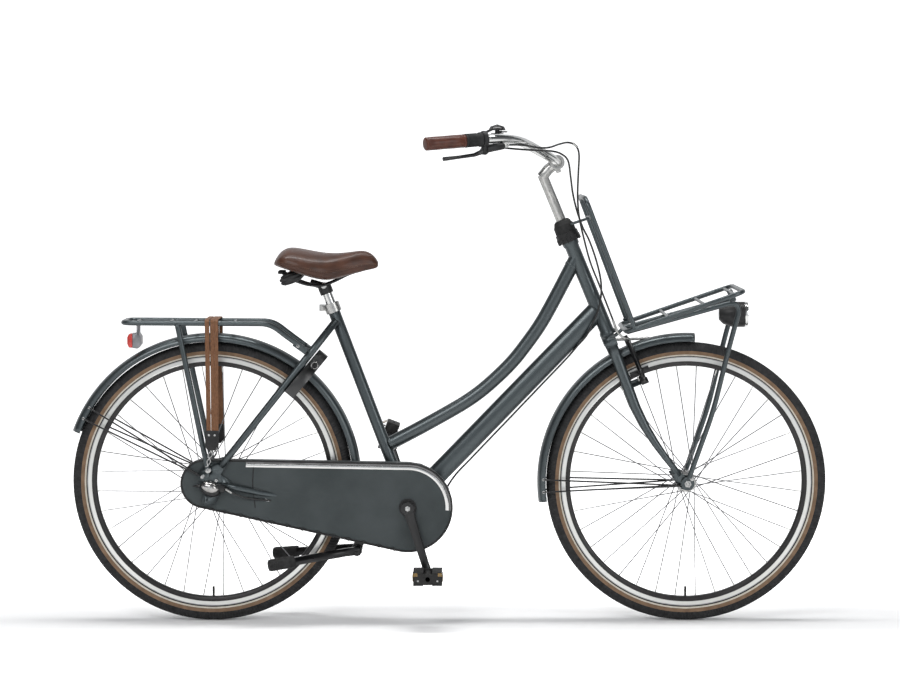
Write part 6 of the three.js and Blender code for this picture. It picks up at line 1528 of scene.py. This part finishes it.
rear_bolts = ((-0.6035, 0.3895, 0.0775, 0.0058), (-0.6165, 0.3735, 0.0640, 0.0042),
              (-0.6095, 0.3100, 0.0640, 0.0044), (-0.5835, 0.3625, 0.0730, 0.0030))
front_bolts = ((0.6080, 0.3655, 0.0612, 0.0040), (0.5765, 0.3405, 0.0590, 0.0036))
for name, places, height, part in (("dropout_bolt", rear_bolts, 0.0042, "rear_axle"),
                                   ("foot_bolt", front_bolts, 0.0036, "front_axle")):
    bolts = [bolt for place in places for bolt in bolt_pair(name, *place, height)]
    given(joined(name + "s", bolts), part, zinc, slot="steel")
    print(name, len(bolts) // 2)

# %% Ring lock
lock_black = made("lock_black", (grey(0.007), grey(0.016)), (40,), (0.28, 0.45), (70,),
                  [(0.00006, 0.5, 1400, 2)], roughness=0.35, coat=0.25, coat_roughness=0.2)
smoothed("ring_lock_body", lock_black, 30, 0.0016)
lock_centre = Vector((-0.3759, 0, 0.60698))
lock_ahead, lock_out = Vector((0.766044, 0, -0.642788)), Vector((0.642788, 0, 0.766044))
rosette_place = lock_centre + (lock_ahead * 2 + Vector((0, -52, 0)) + lock_out * 58) / 1000
ring = [(6.6, -2), (8.9, -2), (9.4, -1), (9.4, 0.6), (8.8, 1.2), (7.2, 1.2), (6.6, 0.8)]
rosette = spun("lock_rosette", ring, rosette_place, -to_left, to_front, steps=36, angle=30)
given(rosette, "ring_lock_body", shell_steel, slot="steel")
print("lock ring spans", short(rosette.dimensions))

# %% [markdown]
# ## Headset, brake boot and stand feet
# A soft rubber cap covers the headset's top, over a ribbed ring. The brake's wire comes out of its
# elbow through a small ribbed boot. The stand's two legs end in black rubber feet.

# %% Headset cap and ribs
cap_outline = [(13.2, 263), (25.4, 263), (26.4, 265), (26.4, 276), (25.8, 289.6), (23.4, 293), (20.6, 300),
               (17.6, 303.5), (15.6, 304.5), (13.2, 304.5)]
cap = spun("headset_rubber_cap", [(r, h - 280) for r, h in cap_outline], steered(0, 0, 280), head_up,
           head_ahead, steps=48, angle=40)
given(cap, "headset_top", black_rubber, slot="black_plastic")
rib_count, rib_ring = 14, 28.2  # the ring's radius in millimetres
ribs = []
for k in range(rib_count):
    turn = math.radians(k * 360 / rib_count)
    ends = [steered(rib_ring * math.cos(turn), rib_ring * math.sin(turn), up) for up in (245.5, 260)]
    ribs.append(stick("headset_rib", *ends, 0.0020, 10, edge=0.0008))
given(joined("headset_ribs", ribs), "headset_top", black_plastic, slot="black_plastic")
print("headset ribs", len(ribs))

# %% Brake boot and wire
boot_outline = [(1.2, -1), (4.4, -1), (5, 1), (4.2, 3), (5.3, 5), (4.4, 7), (5.5, 9), (4.4, 11), (5.2, 13),
                (4.2, 15), (4.5, 19), (1.2, 19)]
boot_foot = steered(39, -10, -34.5)
boot = spun("brake_boot", boot_outline, boot_foot, to_left, head_ahead, steps=24, angle=45)
given(boot, "brake_cable", black_rubber, slot="black_plastic")
wire = pin("brake_wire", boot_foot, to_left, -0.018, 0.048, 0.001, 10)
given(wire, "brake_cable", zinc, slot="steel")
print("brake boot at", short(boot_foot))

# %% Stand feet
feet = []
for sign in (-1, 1):
    far = Vector((-0.449, sign * 0.111, 0.154))
    near = Vector((-0.233, sign * 0.036, 0.180)).lerp(far, 0.72)
    way = (far - near).normalized()
    feet.append(stick("stand_foot", near - way * 0.001, far + way * 0.0016, 0.0150, 28, edge=0.003))
    for share in (0.74, 0.82, 0.90):
        place = near.lerp(far, share)
        feet.append(pin("stand_foot_ring", place, way, 0.0012, 0.0012, 0.0157, 28, edge=0.0008))
given(joined("stand_feet", feet), "stand_legs", black_rubber, slot="black_plastic")
print("stand feet pieces", len(feet))

# %% [markdown]
# ## Pedals and cranks
# City pedals are two rubber treads on a black cage that turns on a barrel, with amber
# reflectors. The frame model gives the body; the barrel's cap, the ribs under the shoe and the
# reflectors are added once round the pedal's own centre and copied to the other side, turned
# as that pedal hangs.

# %% Pedal bodies
for part in ("pedal_right", "pedal_left"):
    smoothed(part, pedal_rubber, 30, 0.0009)
amber = reflector("amber_reflector", (0.075, 0.040, 0.006), (0.20, 0.115, 0.018), 420, 0.0005,
                  roughness=0.15, coat=0.4)

# %% Details round one pedal's centre
cap_outline = [(0, 48.0), (6, 48.0), (9.6, 47.2), (10.6, 45.4), (10.6, 43)]
ribs = [spun("pedal_cap", cap_outline, (0, 0, 0), -to_left, to_front, steps=32, closed=False, angle=35)]
reflectors, bolts = [], []
for sign in (-1, 1):
    for face in (-1, 1):
        ribs += [
            brick("tread_rib", (sign * (0.0205 + 0.0042 * k), 0, face * 0.01615), (0.0022, 0.086, 0.0012),
                  edge=0.0004)
            for k in range(4)
        ]
    reflectors += [
        brick("pedal_reflector", (sign * 0.0372, 0, 0), (0.0018, 0.052, 0.017), edge=0.0006),
        brick("pedal_reflector_end", (sign * 0.0302, -0.0472, 0.0112), (0.0105, 0.0022, 0.0085), edge=0.0006),
    ]
    bolt_ends = [(sign * 0.024, y, -0.004) for y in (-0.0468, -0.0484)]
    bolts.append(stick("pedal_bolt", *bolt_ends, 0.0026, 6, edge=0.0004))
print("pedal ribs", len(ribs) - 1)

# %% Copies to both pedals
left_turn = Matrix(((-0.355107, 0, 0.934826), (0, 1, 0), (0.934826, 0, 0.355107))).to_4x4()
pedal_places = {
    "pedal_right": Matrix.Translation((-0.053663, -0.139, 0.130779)),
    "pedal_left": Matrix.Translation((-0.155337, 0.139, 0.455221)) @ left_turn
    @ Matrix.Diagonal((1, -1, 1, 1)),
}
for name, things, material, slot in (("ribs", ribs, pedal_rubber, "pedal_rubber"),
                                     ("reflectors", reflectors, amber, "pedal_rubber"),
                                     ("bolts", bolts, zinc, "steel")):
    source = joined("pedal_" + name, things)
    for part, place in pedal_places.items():
        piece = named(copied(source, place), f"{part}_{name}")
        opened(piece)
        closed_up()
        given(piece, part, material, slot=slot)
    bpy.data.objects.remove(source)
print("pedals dressed", len(pedal_places))

# %% Cranks and the cap over the axle
for part in ("crank_right", "crank_left"):
    smoothed(part, black_paint, 35, 0.0012)
cap_outline = [(22, 62), (22, 64), (21, 65.4), (12, 66), (11.9, 65.8)]
crank_cap = spun("crank_cap", cap_outline, bracket, -to_left, to_front, steps=48, closed=False, angle=35)
given(crank_cap, "crank_right", black_plastic, slot="black_plastic")
crank_bolts = [
    pin("crank_bolt", bracket, to_left, 0.081, -0.0852, 0.0072, 6, edge=0.001),
    pin("crank_washer", bracket, to_left, 0.079, -0.0826, 0.0092, 32, edge=0.0006),
]
given(joined("crank_bolts", crank_bolts), "crank_right", zinc, slot="steel")
print("crank cap spans", short(crank_cap.dimensions))
